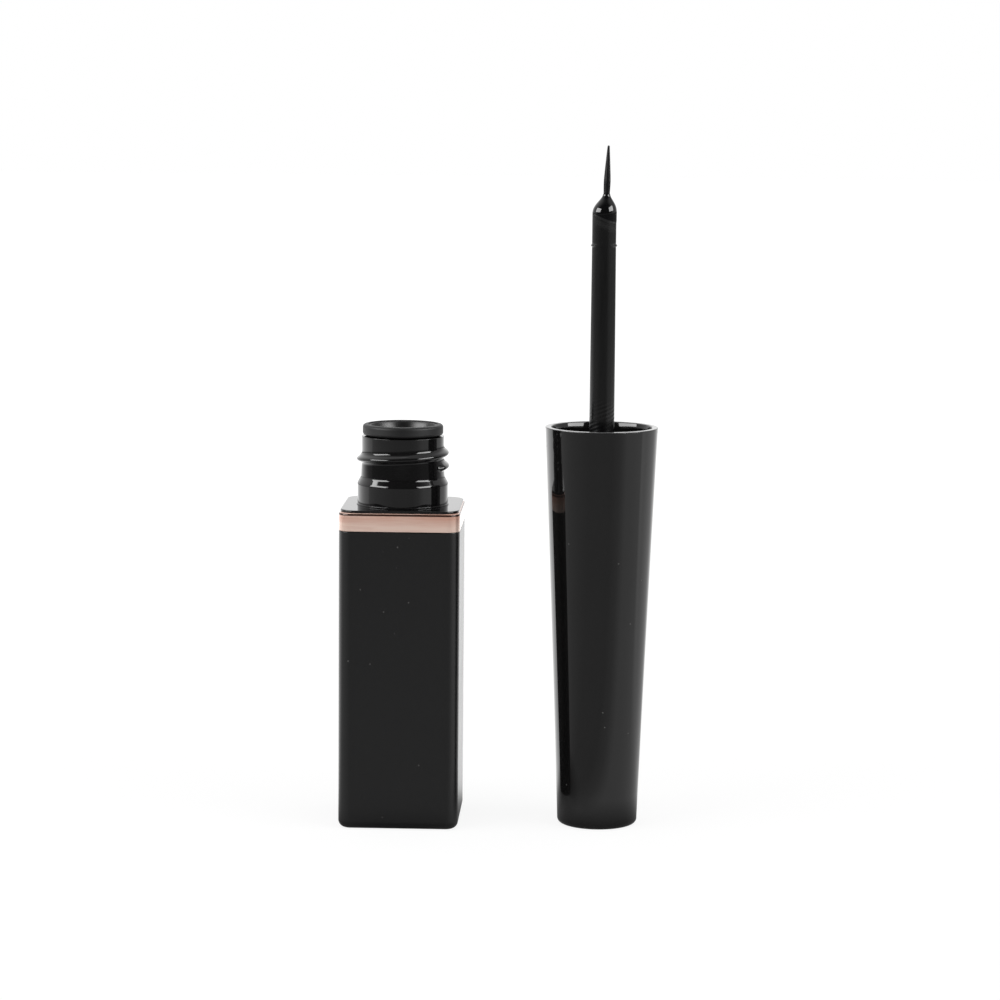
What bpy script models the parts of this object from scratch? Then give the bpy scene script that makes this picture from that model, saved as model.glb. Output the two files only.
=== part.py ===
"""Liquid eyeliner, open: a square bottle, and its applicator cap stood upside down beside it.

The bottle is a satin sleeve round a moulded vial. The vial's shoulder plate lies on a rose gold band
and plugs into its pocket, and a soft wiper is pressed into the vial's neck. The applicator is a
tapered cap with a threaded liner, whose socket holds the stem, a brush holder and a tuft of filaments.

Metres, +Z up. The origin is the centre of the bottle's flat base, and its front faces -Y.
"""

import math

import bmesh
import bpy
import numpy as np
from mathutils import Matrix

MM = 0.001

# Bottle: sleeve
BODY_WIDTH = 16.0 * MM
BODY_CORNER_RADIUS = 1.7 * MM
BASE_EDGE_RADIUS = 1.0 * MM
SHELL_HEIGHT = 39.95 * MM
SHELL_WALL = 1.2 * MM
SHELL_FLOOR = 1.4 * MM

# Bottle: band
BAND_HEIGHT = 2.42 * MM
BAND_EDGE_RADIUS = 0.3 * MM
BAND_WALL = 0.6 * MM
BAND_LEDGE = 1.25 * MM
TONGUE_LENGTH = 1.0 * MM
TONGUE_WALL = 0.35 * MM

# Bottle: vial, shoulder and neck
VIAL_CLEARANCE = 0.1 * MM
VIAL_WALL = 1.0 * MM
VIAL_FLOOR = 1.0 * MM
VIAL_EDGE_RADIUS = 0.8 * MM
PLATE_RISE = 0.34 * MM
PLATE_INSET = 0.15 * MM
PLATE_EDGE_RADIUS = 0.15 * MM
COLLAR_DIAMETER = 12.11 * MM
COLLAR_HEIGHT = 3.08 * MM
COLLAR_RING_HEIGHT = 0.15 * MM
COLLAR_RING_WIDTH = 0.1 * MM
COLLAR_EDGE_RADIUS = 0.68 * MM
NECK_DIAMETER = 10.97 * MM
NECK_BEVEL_HEIGHT = 0.81 * MM
NECK_HEIGHT = 9.23 * MM
NECK_WALL = 1.1 * MM
NECK_EDGE_RADIUS = 0.12 * MM
CAVITY_CONE_HEIGHT = 1.6 * MM
THREAD_DEPTH = 0.64 * MM
THREAD_ZONE_HEIGHT = 7.4 * MM

# Bottle: wiper
WIPER_RIM_INSET = 0.125 * MM
WIPER_RIM_WIDTH = 1.08 * MM
WIPER_RIM_HEIGHT = 1.52 * MM
WIPER_RIM_EDGE_RADIUS = 0.35 * MM
WIPER_TUCK_WIDTH = 0.72 * MM
WIPER_TUCK_HEIGHT = 0.72 * MM
WIPER_STEP_WIDTH = 0.72 * MM
WIPER_STEP_DROP = 0.12 * MM
WIPER_WALL = 0.6 * MM
WIPER_FUNNEL_HEIGHT = 1.9 * MM
WIPER_PLUG_LENGTH = 7.0 * MM
WIPER_CONE_HEIGHT = 2.8 * MM
WIPER_LIP_HEIGHT = 0.5 * MM
WIPER_LIP_WALL = 0.4 * MM
WIPER_ORIFICE_DIAMETER = 3.0 * MM

# Cap
CAP_HEIGHT = 53.54 * MM
CAP_FOOT_DIAMETER = 10.65 * MM
CAP_FOOT_EDGE_RADIUS = 0.65 * MM
CAP_WALL = 0.6 * MM
CAP_FLOOR = 1.5 * MM
CAP_RIM_EDGE_RADIUS = 0.2 * MM
# The cap's radius grows from foot to mouth as this power of the height, a barely flared taper.
CAP_FLARE = 1.06
CAP_PLACE_X = 26.48 * MM
CAP_PLACE_Y = -1.01 * MM

# Cap: liner
LINER_RECESS = 4.3 * MM
LINER_WALL = 0.33 * MM
LINER_NECK_CLEARANCE = 0.15 * MM
LINER_CEILING = 1.0 * MM
LINER_SKIRT_LENGTH = 6.0 * MM
LINER_SKIRT_WALL = 0.6 * MM
THREAD_CLEARANCE = 0.07 * MM
CLOSED_CLEARANCE = 0.25 * MM
SOCKET_LENGTH = 8.0 * MM
SOCKET_WALL = 1.1 * MM
SOCKET_FLOOR = 1.0 * MM

# Wand
STEM_DIAMETER = 3.34 * MM
STEM_END_DIAMETER = 3.18 * MM
TIP_CLEARANCE = 3.19 * MM
HOLDER_LENGTH = 6.4 * MM
HOLDER_RING_DIAMETER = 3.36 * MM
HOLDER_RING_HEIGHT = 0.45 * MM
HOLDER_DIAMETER = 3.12 * MM
HOLDER_NOSE_HEIGHT = 2.2 * MM
HOLDER_NOSE_FLAT_DIAMETER = 1.26 * MM
HOLDER_NOSE_POWER = 1.5
SPIGOT_DIAMETER = 1.6 * MM
SPIGOT_LENGTH = 5.0 * MM

# Brush
TUFT_LENGTH = 6.46 * MM
TUFT_ROOT_DIAMETER = 0.86 * MM
TUFT_BELLY_DIAMETER = 0.93 * MM
TUFT_BELLY_HEIGHT = 2.0 * MM
TUFT_TIP_DIAMETER = 0.2 * MM
STRAND_DIAMETER = 0.034 * MM
STRAND_COUNT = 300
STRAND_SIDES = 3
STRAND_SINK = 0.12 * MM
# The outermost filaments stop this share of the tuft's length below the innermost.
STRAND_STAGGER_SHARE = 0.15
BACKING_HEIGHT = 0.34 * MM
BACKING_FOOT_DIAMETER = 1.24 * MM
BACKING_HEAD_DIAMETER = 1.0 * MM
BACKING_STUB_DIAMETER = 0.78 * MM
BACKING_STUB_LENGTH = 3.0 * MM

# Clearances and limits that every piece shares
SEAT_GAP = 0.06 * MM
OVERRUN = 1.0 * MM
MERGE_DISTANCE = 0.0005 * MM
# A fillet never takes more than this share of the shorter of its two sides.
FILLET_LIMIT_SHARE = 0.49

# Counts
TURN_STEPS = 36
WAND_STEPS = 24
FILLET_STEPS = 3
CORNER_STEPS = 6
CAP_STEPS = 10
LINER_STEPS = 4
NOSE_STEPS = 6
SHARP_DEGREES = 35.0

# Worked out: sleeve and band, from the outside in
shell_inner_width = BODY_WIDTH - 2 * SHELL_WALL
shell_inner_corner = max(BODY_CORNER_RADIUS - SHELL_WALL, SEAT_GAP)
band_low = SHELL_HEIGHT + SEAT_GAP
band_top = band_low + BAND_HEIGHT
pocket_width = BODY_WIDTH - 2 * BAND_WALL
pocket_corner = max(BODY_CORNER_RADIUS - BAND_WALL, SEAT_GAP)
pocket_floor = band_low + BAND_LEDGE
tongue_width = shell_inner_width - 2 * SEAT_GAP
tongue_corner = max(shell_inner_corner - SEAT_GAP, SEAT_GAP)
tongue_inner_width = tongue_width - 2 * TONGUE_WALL

# Worked out: vial, plate and neck
vial_radius = tongue_inner_width / 2 - VIAL_CLEARANCE
vial_bore_radius = vial_radius - VIAL_WALL
vial_low = SHELL_FLOOR + SEAT_GAP
vial_floor_top = vial_low + VIAL_FLOOR
plug_width = pocket_width - 2 * SEAT_GAP
plug_corner = pocket_corner - SEAT_GAP / 2
plug_low = pocket_floor + SEAT_GAP
plate_width = BODY_WIDTH - 2 * PLATE_INSET
plate_corner = BODY_CORNER_RADIUS - PLATE_INSET
plate_low = band_top + SEAT_GAP
shoulder_top = band_top + PLATE_RISE
collar_radius = COLLAR_DIAMETER / 2
collar_top = shoulder_top + COLLAR_HEIGHT
neck_radius = NECK_DIAMETER / 2
neck_low = collar_top + NECK_BEVEL_HEIGHT
neck_top = shoulder_top + NECK_HEIGHT
neck_bore_radius = neck_radius - NECK_WALL

# Worked out: wiper
wiper_low = neck_top + SEAT_GAP
wiper_top = wiper_low + WIPER_RIM_HEIGHT
wiper_plug_radius = neck_bore_radius - SEAT_GAP
wiper_bore_radius = wiper_plug_radius - WIPER_WALL
wiper_plug_low = wiper_low - WIPER_PLUG_LENGTH
wiper_tip = wiper_plug_low - WIPER_CONE_HEIGHT
orifice_radius = WIPER_ORIFICE_DIAMETER / 2

# Worked out: liner, in the frame of the cap as it stands on its closed end
liner_top = CAP_HEIGHT - LINER_RECESS
liner_thread_low = CAP_HEIGHT - THREAD_ZONE_HEIGHT
liner_ceiling_top = CAP_HEIGHT - (wiper_top - shoulder_top) - CLOSED_CLEARANCE
liner_ceiling_low = liner_ceiling_top - LINER_CEILING
liner_skirt_low = liner_ceiling_low - LINER_SKIRT_LENGTH
liner_thread_radius = neck_radius + THREAD_DEPTH + THREAD_CLEARANCE
liner_neck_radius = neck_radius + LINER_NECK_CLEARANCE
socket_radius = STEM_DIAMETER / 2 + SEAT_GAP
socket_floor_top = liner_ceiling_low - SOCKET_LENGTH

# Worked out: cap. The thread, the liner's thinnest wall and the cap's wall set how wide it is there.
cap_foot_radius = CAP_FOOT_DIAMETER / 2
cap_thread_radius = liner_thread_radius + LINER_WALL + SEAT_GAP + CAP_WALL
cap_thread_rise = (liner_thread_low / CAP_HEIGHT) ** CAP_FLARE
cap_mouth_radius = cap_foot_radius + (cap_thread_radius - cap_foot_radius) / cap_thread_rise

# Worked out: wand. Closed, the cap's rim meets the plate and the tip clears the vial's floor.
brush_tip = CAP_HEIGHT + (shoulder_top - vial_floor_top) - TIP_CLEARANCE
tuft_low = brush_tip - TUFT_LENGTH
nose_top = tuft_low - BACKING_HEIGHT - SEAT_GAP
holder_low = nose_top - HOLDER_LENGTH
stem_top = holder_low - SEAT_GAP
stem_low = socket_floor_top + SEAT_GAP
stem_bore_radius = SPIGOT_DIAMETER / 2 + SEAT_GAP
holder_bore_radius = BACKING_STUB_DIAMETER / 2 + SEAT_GAP


def clear_scene():
    for obj in list(bpy.data.objects):
        bpy.data.objects.remove(obj, do_unlink=True)


def new_collection(name, hidden):
    group = bpy.data.collections.new(name)
    bpy.context.scene.collection.children.link(group)
    group.hide_render = hidden
    return group


def plastic(name, colour, roughness, metallic=0.0, coat=0.0):
    """A Principled material of one colour."""
    material = bpy.data.materials.new(name)
    material.use_nodes = True
    shader = material.node_tree.nodes["Principled BSDF"]
    shader.inputs["Base Color"].default_value = (*colour, 1.0)
    shader.inputs["Roughness"].default_value = roughness
    shader.inputs["Metallic"].default_value = metallic
    shader.inputs["Coat Weight"].default_value = coat
    material.diffuse_color = (*colour, 1.0)
    return material


def filleted(corners):
    """The points of a profile whose corners are (radius, height, fillet), each fillet drawn as an arc.

    A corner's fillet touches both sides at the distance fillet / tan(half the corner's angle).
    """
    places = [np.array(corner[:2]) for corner in corners]
    points = [places[0]]
    for before, place, after, corner in zip(places, places[1:], places[2:], corners[1:]):
        back, ahead = before - place, after - place
        reach = FILLET_LIMIT_SHARE * min(np.linalg.norm(back), np.linalg.norm(ahead))
        back, ahead = back / np.linalg.norm(back), ahead / np.linalg.norm(ahead)
        half = math.acos(max(-1.0, min(1.0, float(back @ ahead)))) / 2
        radius = min(corner[2], reach * math.tan(half))
        if radius < SEAT_GAP / 2:
            points.append(place)
            continue
        middle = back + ahead
        centre = place + middle / np.linalg.norm(middle) * radius / math.sin(half)
        start = place + back * radius / math.tan(half) - centre
        end = place + ahead * radius / math.tan(half) - centre
        turn = math.atan2(start[0] * end[1] - start[1] * end[0], start @ end)
        for step in range(FILLET_STEPS + 1):
            angle = turn * step / FILLET_STEPS
            cosine, sine = math.cos(angle), math.sin(angle)
            points.append(centre + np.array([
                start[0] * cosine - start[1] * sine,
                start[0] * sine + start[1] * cosine,
            ]))
    points.append(places[-1])
    return points


def turned(name, points, steps, closed=False):
    """A body turned about Z from a profile that runs down its outer side. A closed one is a ring."""
    count = len(points)
    edges = [(index, index + 1) for index in range(count - 1)]
    if closed:
        edges.append((count - 1, 0))
    mesh = bpy.data.meshes.new(name)
    mesh.from_pydata([(point[0], 0.0, point[1]) for point in points], edges, [])
    obj = bpy.data.objects.new(name, mesh)
    screw = obj.modifiers.new("Turn", "SCREW")
    screw.axis = "Z"
    screw.angle = 2 * math.pi
    screw.steps = steps
    screw.render_steps = steps
    screw.use_merge_vertices = True
    screw.merge_threshold = MERGE_DISTANCE
    return obj


def rounded_block(name, width, low, high, corner_radius, low_edge=0.0, high_edge=0.0):
    """An upright square block whose four long edges, and if asked its ends' edges, are rounded."""
    bm = bmesh.new()
    bmesh.ops.create_cube(bm, size=1.0)
    bmesh.ops.scale(bm, vec=(width, width, high - low), verts=bm.verts)
    bmesh.ops.translate(bm, vec=(0.0, 0.0, (low + high) / 2), verts=bm.verts)
    upright = [edge for edge in bm.edges if edge.verts[0].co.z != edge.verts[1].co.z]
    bmesh.ops.bevel(bm, geom=upright, offset=corner_radius, offset_type="OFFSET",
                    segments=CORNER_STEPS, profile=0.5, affect="EDGES")
    for height, radius in ((low, low_edge), (high, high_edge)):
        if radius == 0.0:
            continue
        end = [edge for edge in bm.edges
               if all(abs(vert.co.z - height) < MERGE_DISTANCE for vert in edge.verts)]
        bmesh.ops.bevel(bm, geom=end, offset=radius, offset_type="OFFSET",
                        segments=FILLET_STEPS, profile=0.5, affect="EDGES")
    mesh = bpy.data.meshes.new(name)
    bm.to_mesh(mesh)
    bm.free()
    return bpy.data.objects.new(name, mesh)


def combine(obj, operation, tools, cutters):
    """Joins each tool to the object, or cuts it away. The tools stay in the cutters' collection."""
    for tool in tools:
        cutters.objects.link(tool)
        tool.hide_render = True
        tool.display_type = "WIRE"
        boolean = obj.modifiers.new(tool.name, "BOOLEAN")
        boolean.operation = operation
        boolean.solver = "EXACT"
        boolean.object = tool


def finished(obj, material, parts, parent):
    """Shades the piece smooth except at its sharp edges, and hangs it on its empty."""
    parts.objects.link(obj)
    bpy.context.view_layer.update()
    graph = bpy.context.evaluated_depsgraph_get()
    mesh = bpy.data.meshes.new_from_object(obj.evaluated_get(graph))
    obj.modifiers.clear()
    obj.data = mesh
    mesh.name = obj.name
    mesh.shade_smooth()
    mesh.set_sharp_from_angle(angle=math.radians(SHARP_DEGREES))
    mesh.materials.clear()
    mesh.materials.append(material)
    obj.parent = parent
    return obj


def make_outer_shell(cutters):
    """The square sleeve: a rounded block, hollowed from its open top down to its floor."""
    shell = rounded_block("outer_shell", BODY_WIDTH, 0.0, SHELL_HEIGHT, BODY_CORNER_RADIUS,
                          low_edge=BASE_EDGE_RADIUS)
    hollow = rounded_block("shell_hollow", shell_inner_width, SHELL_FLOOR, SHELL_HEIGHT + OVERRUN,
                           shell_inner_corner)
    combine(shell, "DIFFERENCE", [hollow], cutters)
    return shell


def make_shoulder_band(cutters):
    """The rose gold ring, with a tongue down into the sleeve and a pocket for the shoulder plate."""
    band = rounded_block("shoulder_band", BODY_WIDTH, band_low, band_top, BODY_CORNER_RADIUS,
                         high_edge=BAND_EDGE_RADIUS)
    tongue = rounded_block("band_tongue", tongue_width, band_low - TONGUE_LENGTH, pocket_floor,
                           tongue_corner)
    passage = rounded_block("band_passage", tongue_inner_width, band_low - TONGUE_LENGTH - OVERRUN,
                            band_top + OVERRUN, tongue_corner)
    pocket = rounded_block("band_pocket", pocket_width, pocket_floor, band_top + OVERRUN,
                           pocket_corner)
    combine(band, "UNION", [tongue], cutters)
    combine(band, "DIFFERENCE", [passage, pocket], cutters)
    return band


def make_inner_bottle(cutters):
    """The vial and neck, turned, joined to the square shoulder plate and hollowed by one cavity.

    The plate lies over the band's top, and its plug fills the band's pocket.
    """
    plug_middle = (plug_low + plate_low) / 2
    ring_radius = collar_radius + COLLAR_RING_WIDTH
    ring_top = shoulder_top + COLLAR_RING_HEIGHT
    bottle = turned("inner_bottle", filleted([
        (0.0, neck_top, 0.0),
        (neck_radius, neck_top, NECK_EDGE_RADIUS),
        (neck_radius, neck_low, COLLAR_EDGE_RADIUS),
        (collar_radius, collar_top, COLLAR_EDGE_RADIUS),
        (collar_radius, ring_top, 0.0),
        (ring_radius, ring_top, NECK_EDGE_RADIUS),
        (ring_radius, plug_middle, 0.0),
        (vial_radius, plug_middle, 0.0),
        (vial_radius, vial_low, VIAL_EDGE_RADIUS),
        (0.0, vial_low, 0.0),
    ]), TURN_STEPS)
    plate = rounded_block("shoulder_plate", plate_width, plate_low, shoulder_top, plate_corner,
                          high_edge=PLATE_EDGE_RADIUS)
    plug = rounded_block("plate_plug", plug_width, plug_low, shoulder_top - PLATE_EDGE_RADIUS,
                         plug_corner)
    cavity = turned("ink_cavity", filleted([
        (0.0, neck_top + OVERRUN, 0.0),
        (neck_bore_radius, neck_top + OVERRUN, 0.0),
        (neck_bore_radius, plug_low, 0.0),
        (vial_bore_radius, plug_low - CAVITY_CONE_HEIGHT, 0.0),
        (vial_bore_radius, vial_floor_top, VIAL_EDGE_RADIUS),
        (0.0, vial_floor_top, 0.0),
    ]), TURN_STEPS)
    combine(bottle, "UNION", [plate, plug], cutters)
    combine(bottle, "DIFFERENCE", [cavity], cutters)
    return bottle


def make_wiper():
    """The soft insert: a rim over the neck, a plug in its bore and a cone down to the orifice.

    The rim's lower edge is tucked in, so that the neck's flat end shows beside it.
    """
    rim_radius = neck_radius - WIPER_RIM_INSET
    step_radius = rim_radius - WIPER_STEP_WIDTH
    mouth_radius = rim_radius - WIPER_RIM_WIDTH
    step_top = wiper_top - WIPER_STEP_DROP
    funnel_low = wiper_top - WIPER_FUNNEL_HEIGHT
    lip_top = wiper_tip + WIPER_LIP_HEIGHT
    points = filleted([
        (step_radius, wiper_top, 0.0),
        (rim_radius, wiper_top, WIPER_RIM_EDGE_RADIUS),
        (rim_radius, wiper_low + WIPER_TUCK_HEIGHT, WIPER_TUCK_HEIGHT),
        (rim_radius - WIPER_TUCK_WIDTH, wiper_low, WIPER_TUCK_WIDTH / 2),
        (wiper_plug_radius, wiper_low, 0.0),
        (wiper_plug_radius, wiper_plug_low, 0.0),
        (orifice_radius + WIPER_LIP_WALL, wiper_tip, 0.0),
        (orifice_radius, wiper_tip, 0.0),
        (orifice_radius, lip_top, 0.0),
        (wiper_bore_radius, wiper_plug_low, WIPER_WALL),
        (wiper_bore_radius, funnel_low, 0.0),
        (mouth_radius, step_top, 0.0),
        (step_radius, step_top, 0.0),
    ])
    return turned("wiper", points, TURN_STEPS, closed=True)


def cap_radius(height):
    """The cap's outer radius: the foot's, plus a power of the height that reaches the mouth's."""
    rise = (height / CAP_HEIGHT) ** CAP_FLARE
    return cap_foot_radius + (cap_mouth_radius - cap_foot_radius) * rise


def taper(low, high, inset, steps):
    """Profile points down the cap's taper from high to low, moved inwards by inset."""
    heights = np.linspace(high, low, steps + 1)
    return [(cap_radius(height) - inset, height, 0.0) for height in heights]


def make_outer_cap():
    """The tapered cup on its closed end: floor, inner wall up, rim, and outer wall down."""
    outer = taper(CAP_FOOT_EDGE_RADIUS * 2, CAP_HEIGHT, 0.0, CAP_STEPS)
    inner = taper(CAP_FLOOR + CAP_WALL * 2, CAP_HEIGHT, CAP_WALL, CAP_STEPS // 2)[::-1]
    inner_rim = (*inner[-1][:2], CAP_RIM_EDGE_RADIUS)
    outer_rim = (*outer[0][:2], CAP_RIM_EDGE_RADIUS)
    corners = [(0.0, CAP_FLOOR, 0.0), (cap_radius(CAP_FLOOR) - CAP_WALL, CAP_FLOOR, CAP_WALL)]
    corners += inner[:-1] + [inner_rim, outer_rim] + outer[1:]
    corners += [(cap_foot_radius, 0.0, CAP_FOOT_EDGE_RADIUS), (0.0, 0.0, 0.0)]
    return turned("outer_cap", filleted(corners), TURN_STEPS)


def make_inner_cap():
    """The liner: a threaded cup for the neck above its ceiling, a skirt and the stem's socket below."""
    inset = CAP_WALL + SEAT_GAP
    outer = taper(liner_skirt_low, liner_top, inset, LINER_STEPS)
    skirt = taper(liner_skirt_low, liner_ceiling_low, inset + LINER_SKIRT_WALL, 1)[::-1]
    boss_radius = socket_radius + SOCKET_WALL
    boss_low = socket_floor_top - SOCKET_FLOOR
    corners = [(liner_thread_radius, liner_top, 0.0)] + outer + skirt
    corners += [
        (boss_radius, liner_ceiling_low, 0.0),
        (boss_radius, boss_low, SOCKET_WALL / 2),
        (0.0, boss_low, 0.0),
    ]
    cup = [
        (0.0, socket_floor_top, 0.0),
        (socket_radius, socket_floor_top, 0.0),
        (socket_radius, liner_ceiling_top, 0.0),
        (liner_neck_radius, liner_ceiling_top, 0.0),
        (liner_neck_radius, liner_thread_low, 0.0),
        (liner_thread_radius, liner_thread_low + THREAD_DEPTH, 0.0),
    ]
    return turned("inner_cap", filleted(cup + corners), TURN_STEPS)


def make_wand_stem():
    """The slim stem, barely tapered, with a bore at its end for the brush holder's spigot."""
    stem_radius = STEM_DIAMETER / 2
    bore_floor = stem_top - SPIGOT_LENGTH - SEAT_GAP
    return turned("wand_stem", filleted([
        (0.0, bore_floor, 0.0),
        (stem_bore_radius, bore_floor, 0.0),
        (stem_bore_radius, stem_top, 0.0),
        (STEM_END_DIAMETER / 2, stem_top, 0.0),
        (stem_radius, CAP_HEIGHT, 0.0),
        (stem_radius, stem_low, SEAT_GAP * 4),
        (0.0, stem_low, 0.0),
    ]), WAND_STEPS)


def nose_points():
    """The rounded nose, a superellipse from the flat that carries the brush out to the holder's side."""
    flat, side = HOLDER_NOSE_FLAT_DIAMETER / 2, HOLDER_DIAMETER / 2
    points = []
    for step in range(NOSE_STEPS + 1):
        angle = math.pi / 2 * step / NOSE_STEPS
        out = math.sin(angle) ** (2 / HOLDER_NOSE_POWER)
        up = math.cos(angle) ** (2 / HOLDER_NOSE_POWER)
        height = nose_top - HOLDER_NOSE_HEIGHT * (1 - up)
        points.append((flat + (side - flat) * out, height, 0.0))
    return points


def make_brush_holder():
    """The stem's end piece: spigot, raised ring, body and nose, with a bore for the brush's stub."""
    ring_radius, side = HOLDER_RING_DIAMETER / 2, HOLDER_DIAMETER / 2
    ring_top = holder_low + HOLDER_RING_HEIGHT
    bore_floor = nose_top - BACKING_STUB_LENGTH - SEAT_GAP
    corners = [
        (0.0, bore_floor, 0.0),
        (holder_bore_radius, bore_floor, 0.0),
        (holder_bore_radius, nose_top, 0.0),
    ]
    corners += nose_points()
    corners += [
        (side, ring_top + HOLDER_RING_HEIGHT, 0.0),
        (ring_radius, ring_top, HOLDER_RING_HEIGHT / 2),
        (ring_radius, holder_low, HOLDER_RING_HEIGHT / 4),
        (SPIGOT_DIAMETER / 2, holder_low, 0.0),
        (SPIGOT_DIAMETER / 2, holder_low - SPIGOT_LENGTH, 0.0),
        (0.0, holder_low - SPIGOT_LENGTH, 0.0),
    ]
    return turned("brush_holder", filleted(corners), WAND_STEPS)


def tuft_spread(height):
    """How wide the tuft is at a height above its root, as a multiple of its width at the root."""
    heights = (0.0, TUFT_BELLY_HEIGHT, TUFT_LENGTH)
    widths = (TUFT_ROOT_DIAMETER, TUFT_BELLY_DIAMETER, TUFT_TIP_DIAMETER)
    return np.interp(height, heights, widths) / TUFT_ROOT_DIAMETER


def strand_mesh():
    """The filaments, each an even prism up to the tuft's belly and a long point above it.

    Filament i stands at the golden angle times i, at a radius that grows with the square root of i.
    Place and thickness both follow the tuft's width at each height, so no two filaments meet.
    """
    index = np.arange(STRAND_COUNT) + 0.5
    outward = np.sqrt(index / STRAND_COUNT)
    turn = index * math.pi * (3 - math.sqrt(5))
    root_reach = (TUFT_ROOT_DIAMETER - STRAND_DIAMETER) / 2
    centres = (outward * root_reach)[:, None] * np.stack([np.cos(turn), np.sin(turn)], axis=1)
    ends = TUFT_LENGTH * (1 - STRAND_STAGGER_SHARE * outward**2)
    side = 2 * math.pi * np.arange(STRAND_SIDES) / STRAND_SIDES
    corner = STRAND_DIAMETER / 2 * np.stack([np.cos(side), np.sin(side)], axis=1)
    rings = []
    for level in (-STRAND_SINK, TUFT_BELLY_HEIGHT):
        flat = (centres[:, None, :] + corner[None, :, :]) * tuft_spread(level)
        height = np.full((STRAND_COUNT, STRAND_SIDES, 1), tuft_low + level)
        rings.append(np.concatenate([flat, height], axis=2))
    tips = np.concatenate([centres * tuft_spread(ends)[:, None], (ends + tuft_low)[:, None]], axis=1)
    strands = np.concatenate(rings + [tips[:, None, :]], axis=1)
    around = [(k, (k + 1) % STRAND_SIDES) for k in range(STRAND_SIDES)]
    faces = [tuple(range(STRAND_SIDES - 1, -1, -1))]
    for ring in range(len(rings) - 1):
        low, high = ring * STRAND_SIDES, (ring + 1) * STRAND_SIDES
        faces += [(low + a, low + b, high + b, high + a) for a, b in around]
    last, tip = (len(rings) - 1) * STRAND_SIDES, len(rings) * STRAND_SIDES
    faces += [(last + a, last + b, tip) for a, b in around]
    per_strand = tip + 1
    every_face = [tuple(point + strand * per_strand for point in face)
                  for strand in range(STRAND_COUNT) for face in faces]
    mesh = bpy.data.meshes.new("tuft_strands")
    mesh.from_pydata(strands.reshape(-1, 3).tolist(), [], every_face)
    return mesh


def make_brush_bristles(cutters):
    """The tuft: the filaments joined to their backing, a low cone on a stub."""
    backing_low = tuft_low - BACKING_HEIGHT
    brush = turned("brush_bristles", filleted([
        (0.0, tuft_low, 0.0),
        (BACKING_HEAD_DIAMETER / 2, tuft_low, 0.0),
        (BACKING_FOOT_DIAMETER / 2, backing_low, 0.0),
        (BACKING_STUB_DIAMETER / 2, backing_low, 0.0),
        (BACKING_STUB_DIAMETER / 2, nose_top - BACKING_STUB_LENGTH, 0.0),
        (0.0, nose_top - BACKING_STUB_LENGTH, 0.0),
    ]), WAND_STEPS)
    strands = bpy.data.objects.new("tuft_strands", strand_mesh())
    combine(brush, "UNION", [strands], cutters)
    return brush


def stand(name, x, y, parts):
    """The empty that carries one body's pieces, on its axis at the foot."""
    empty = bpy.data.objects.new(name, None)
    empty.matrix_world = Matrix.Translation((x, y, 0.0))
    parts.objects.link(empty)
    return empty


def main():
    clear_scene()
    parts = new_collection("eyeliner", hidden=False)
    cutters = new_collection("eyeliner_cutters", hidden=True)
    satin = plastic("satin_black", (0.016, 0.016, 0.017), roughness=0.42)
    gloss = plastic("gloss_black", (0.012, 0.012, 0.013), roughness=0.08, coat=0.4)
    rose_gold = plastic("rose_gold", (0.62, 0.36, 0.28), roughness=0.3, metallic=1.0)
    soft = plastic("soft_black", (0.02, 0.02, 0.021), roughness=0.5)
    ink = plastic("inked_black", (0.008, 0.008, 0.009), roughness=0.15)

    bottle = stand("bottle_base", 0.0, 0.0, parts)
    finished(make_outer_shell(cutters), satin, parts, bottle)
    finished(make_inner_bottle(cutters), gloss, parts, bottle)
    finished(make_shoulder_band(cutters), rose_gold, parts, bottle)
    finished(make_wiper(), soft, parts, bottle)

    applicator = stand("applicator_base", CAP_PLACE_X, CAP_PLACE_Y, parts)
    finished(make_outer_cap(), gloss, parts, applicator)
    finished(make_inner_cap(), gloss, parts, applicator)
    finished(make_wand_stem(), satin, parts, applicator)
    finished(make_brush_holder(), satin, parts, applicator)
    finished(make_brush_bristles(cutters), ink, parts, applicator)


main()
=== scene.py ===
"""Looks of an open liquid eyeliner: a square bottle, and its tapered cap stood upside down beside it.

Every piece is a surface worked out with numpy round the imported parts: a profile in reach and height,
carried round an outline. It replaces the faceted part of the same place and rides on that part's body.
The sizes and the finishes are settings of the scene, and each piece has its own operator.

Metres, +Z up. The origin is the centre of the bottle's flat base, and its front faces -Y.
"""

import math

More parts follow.
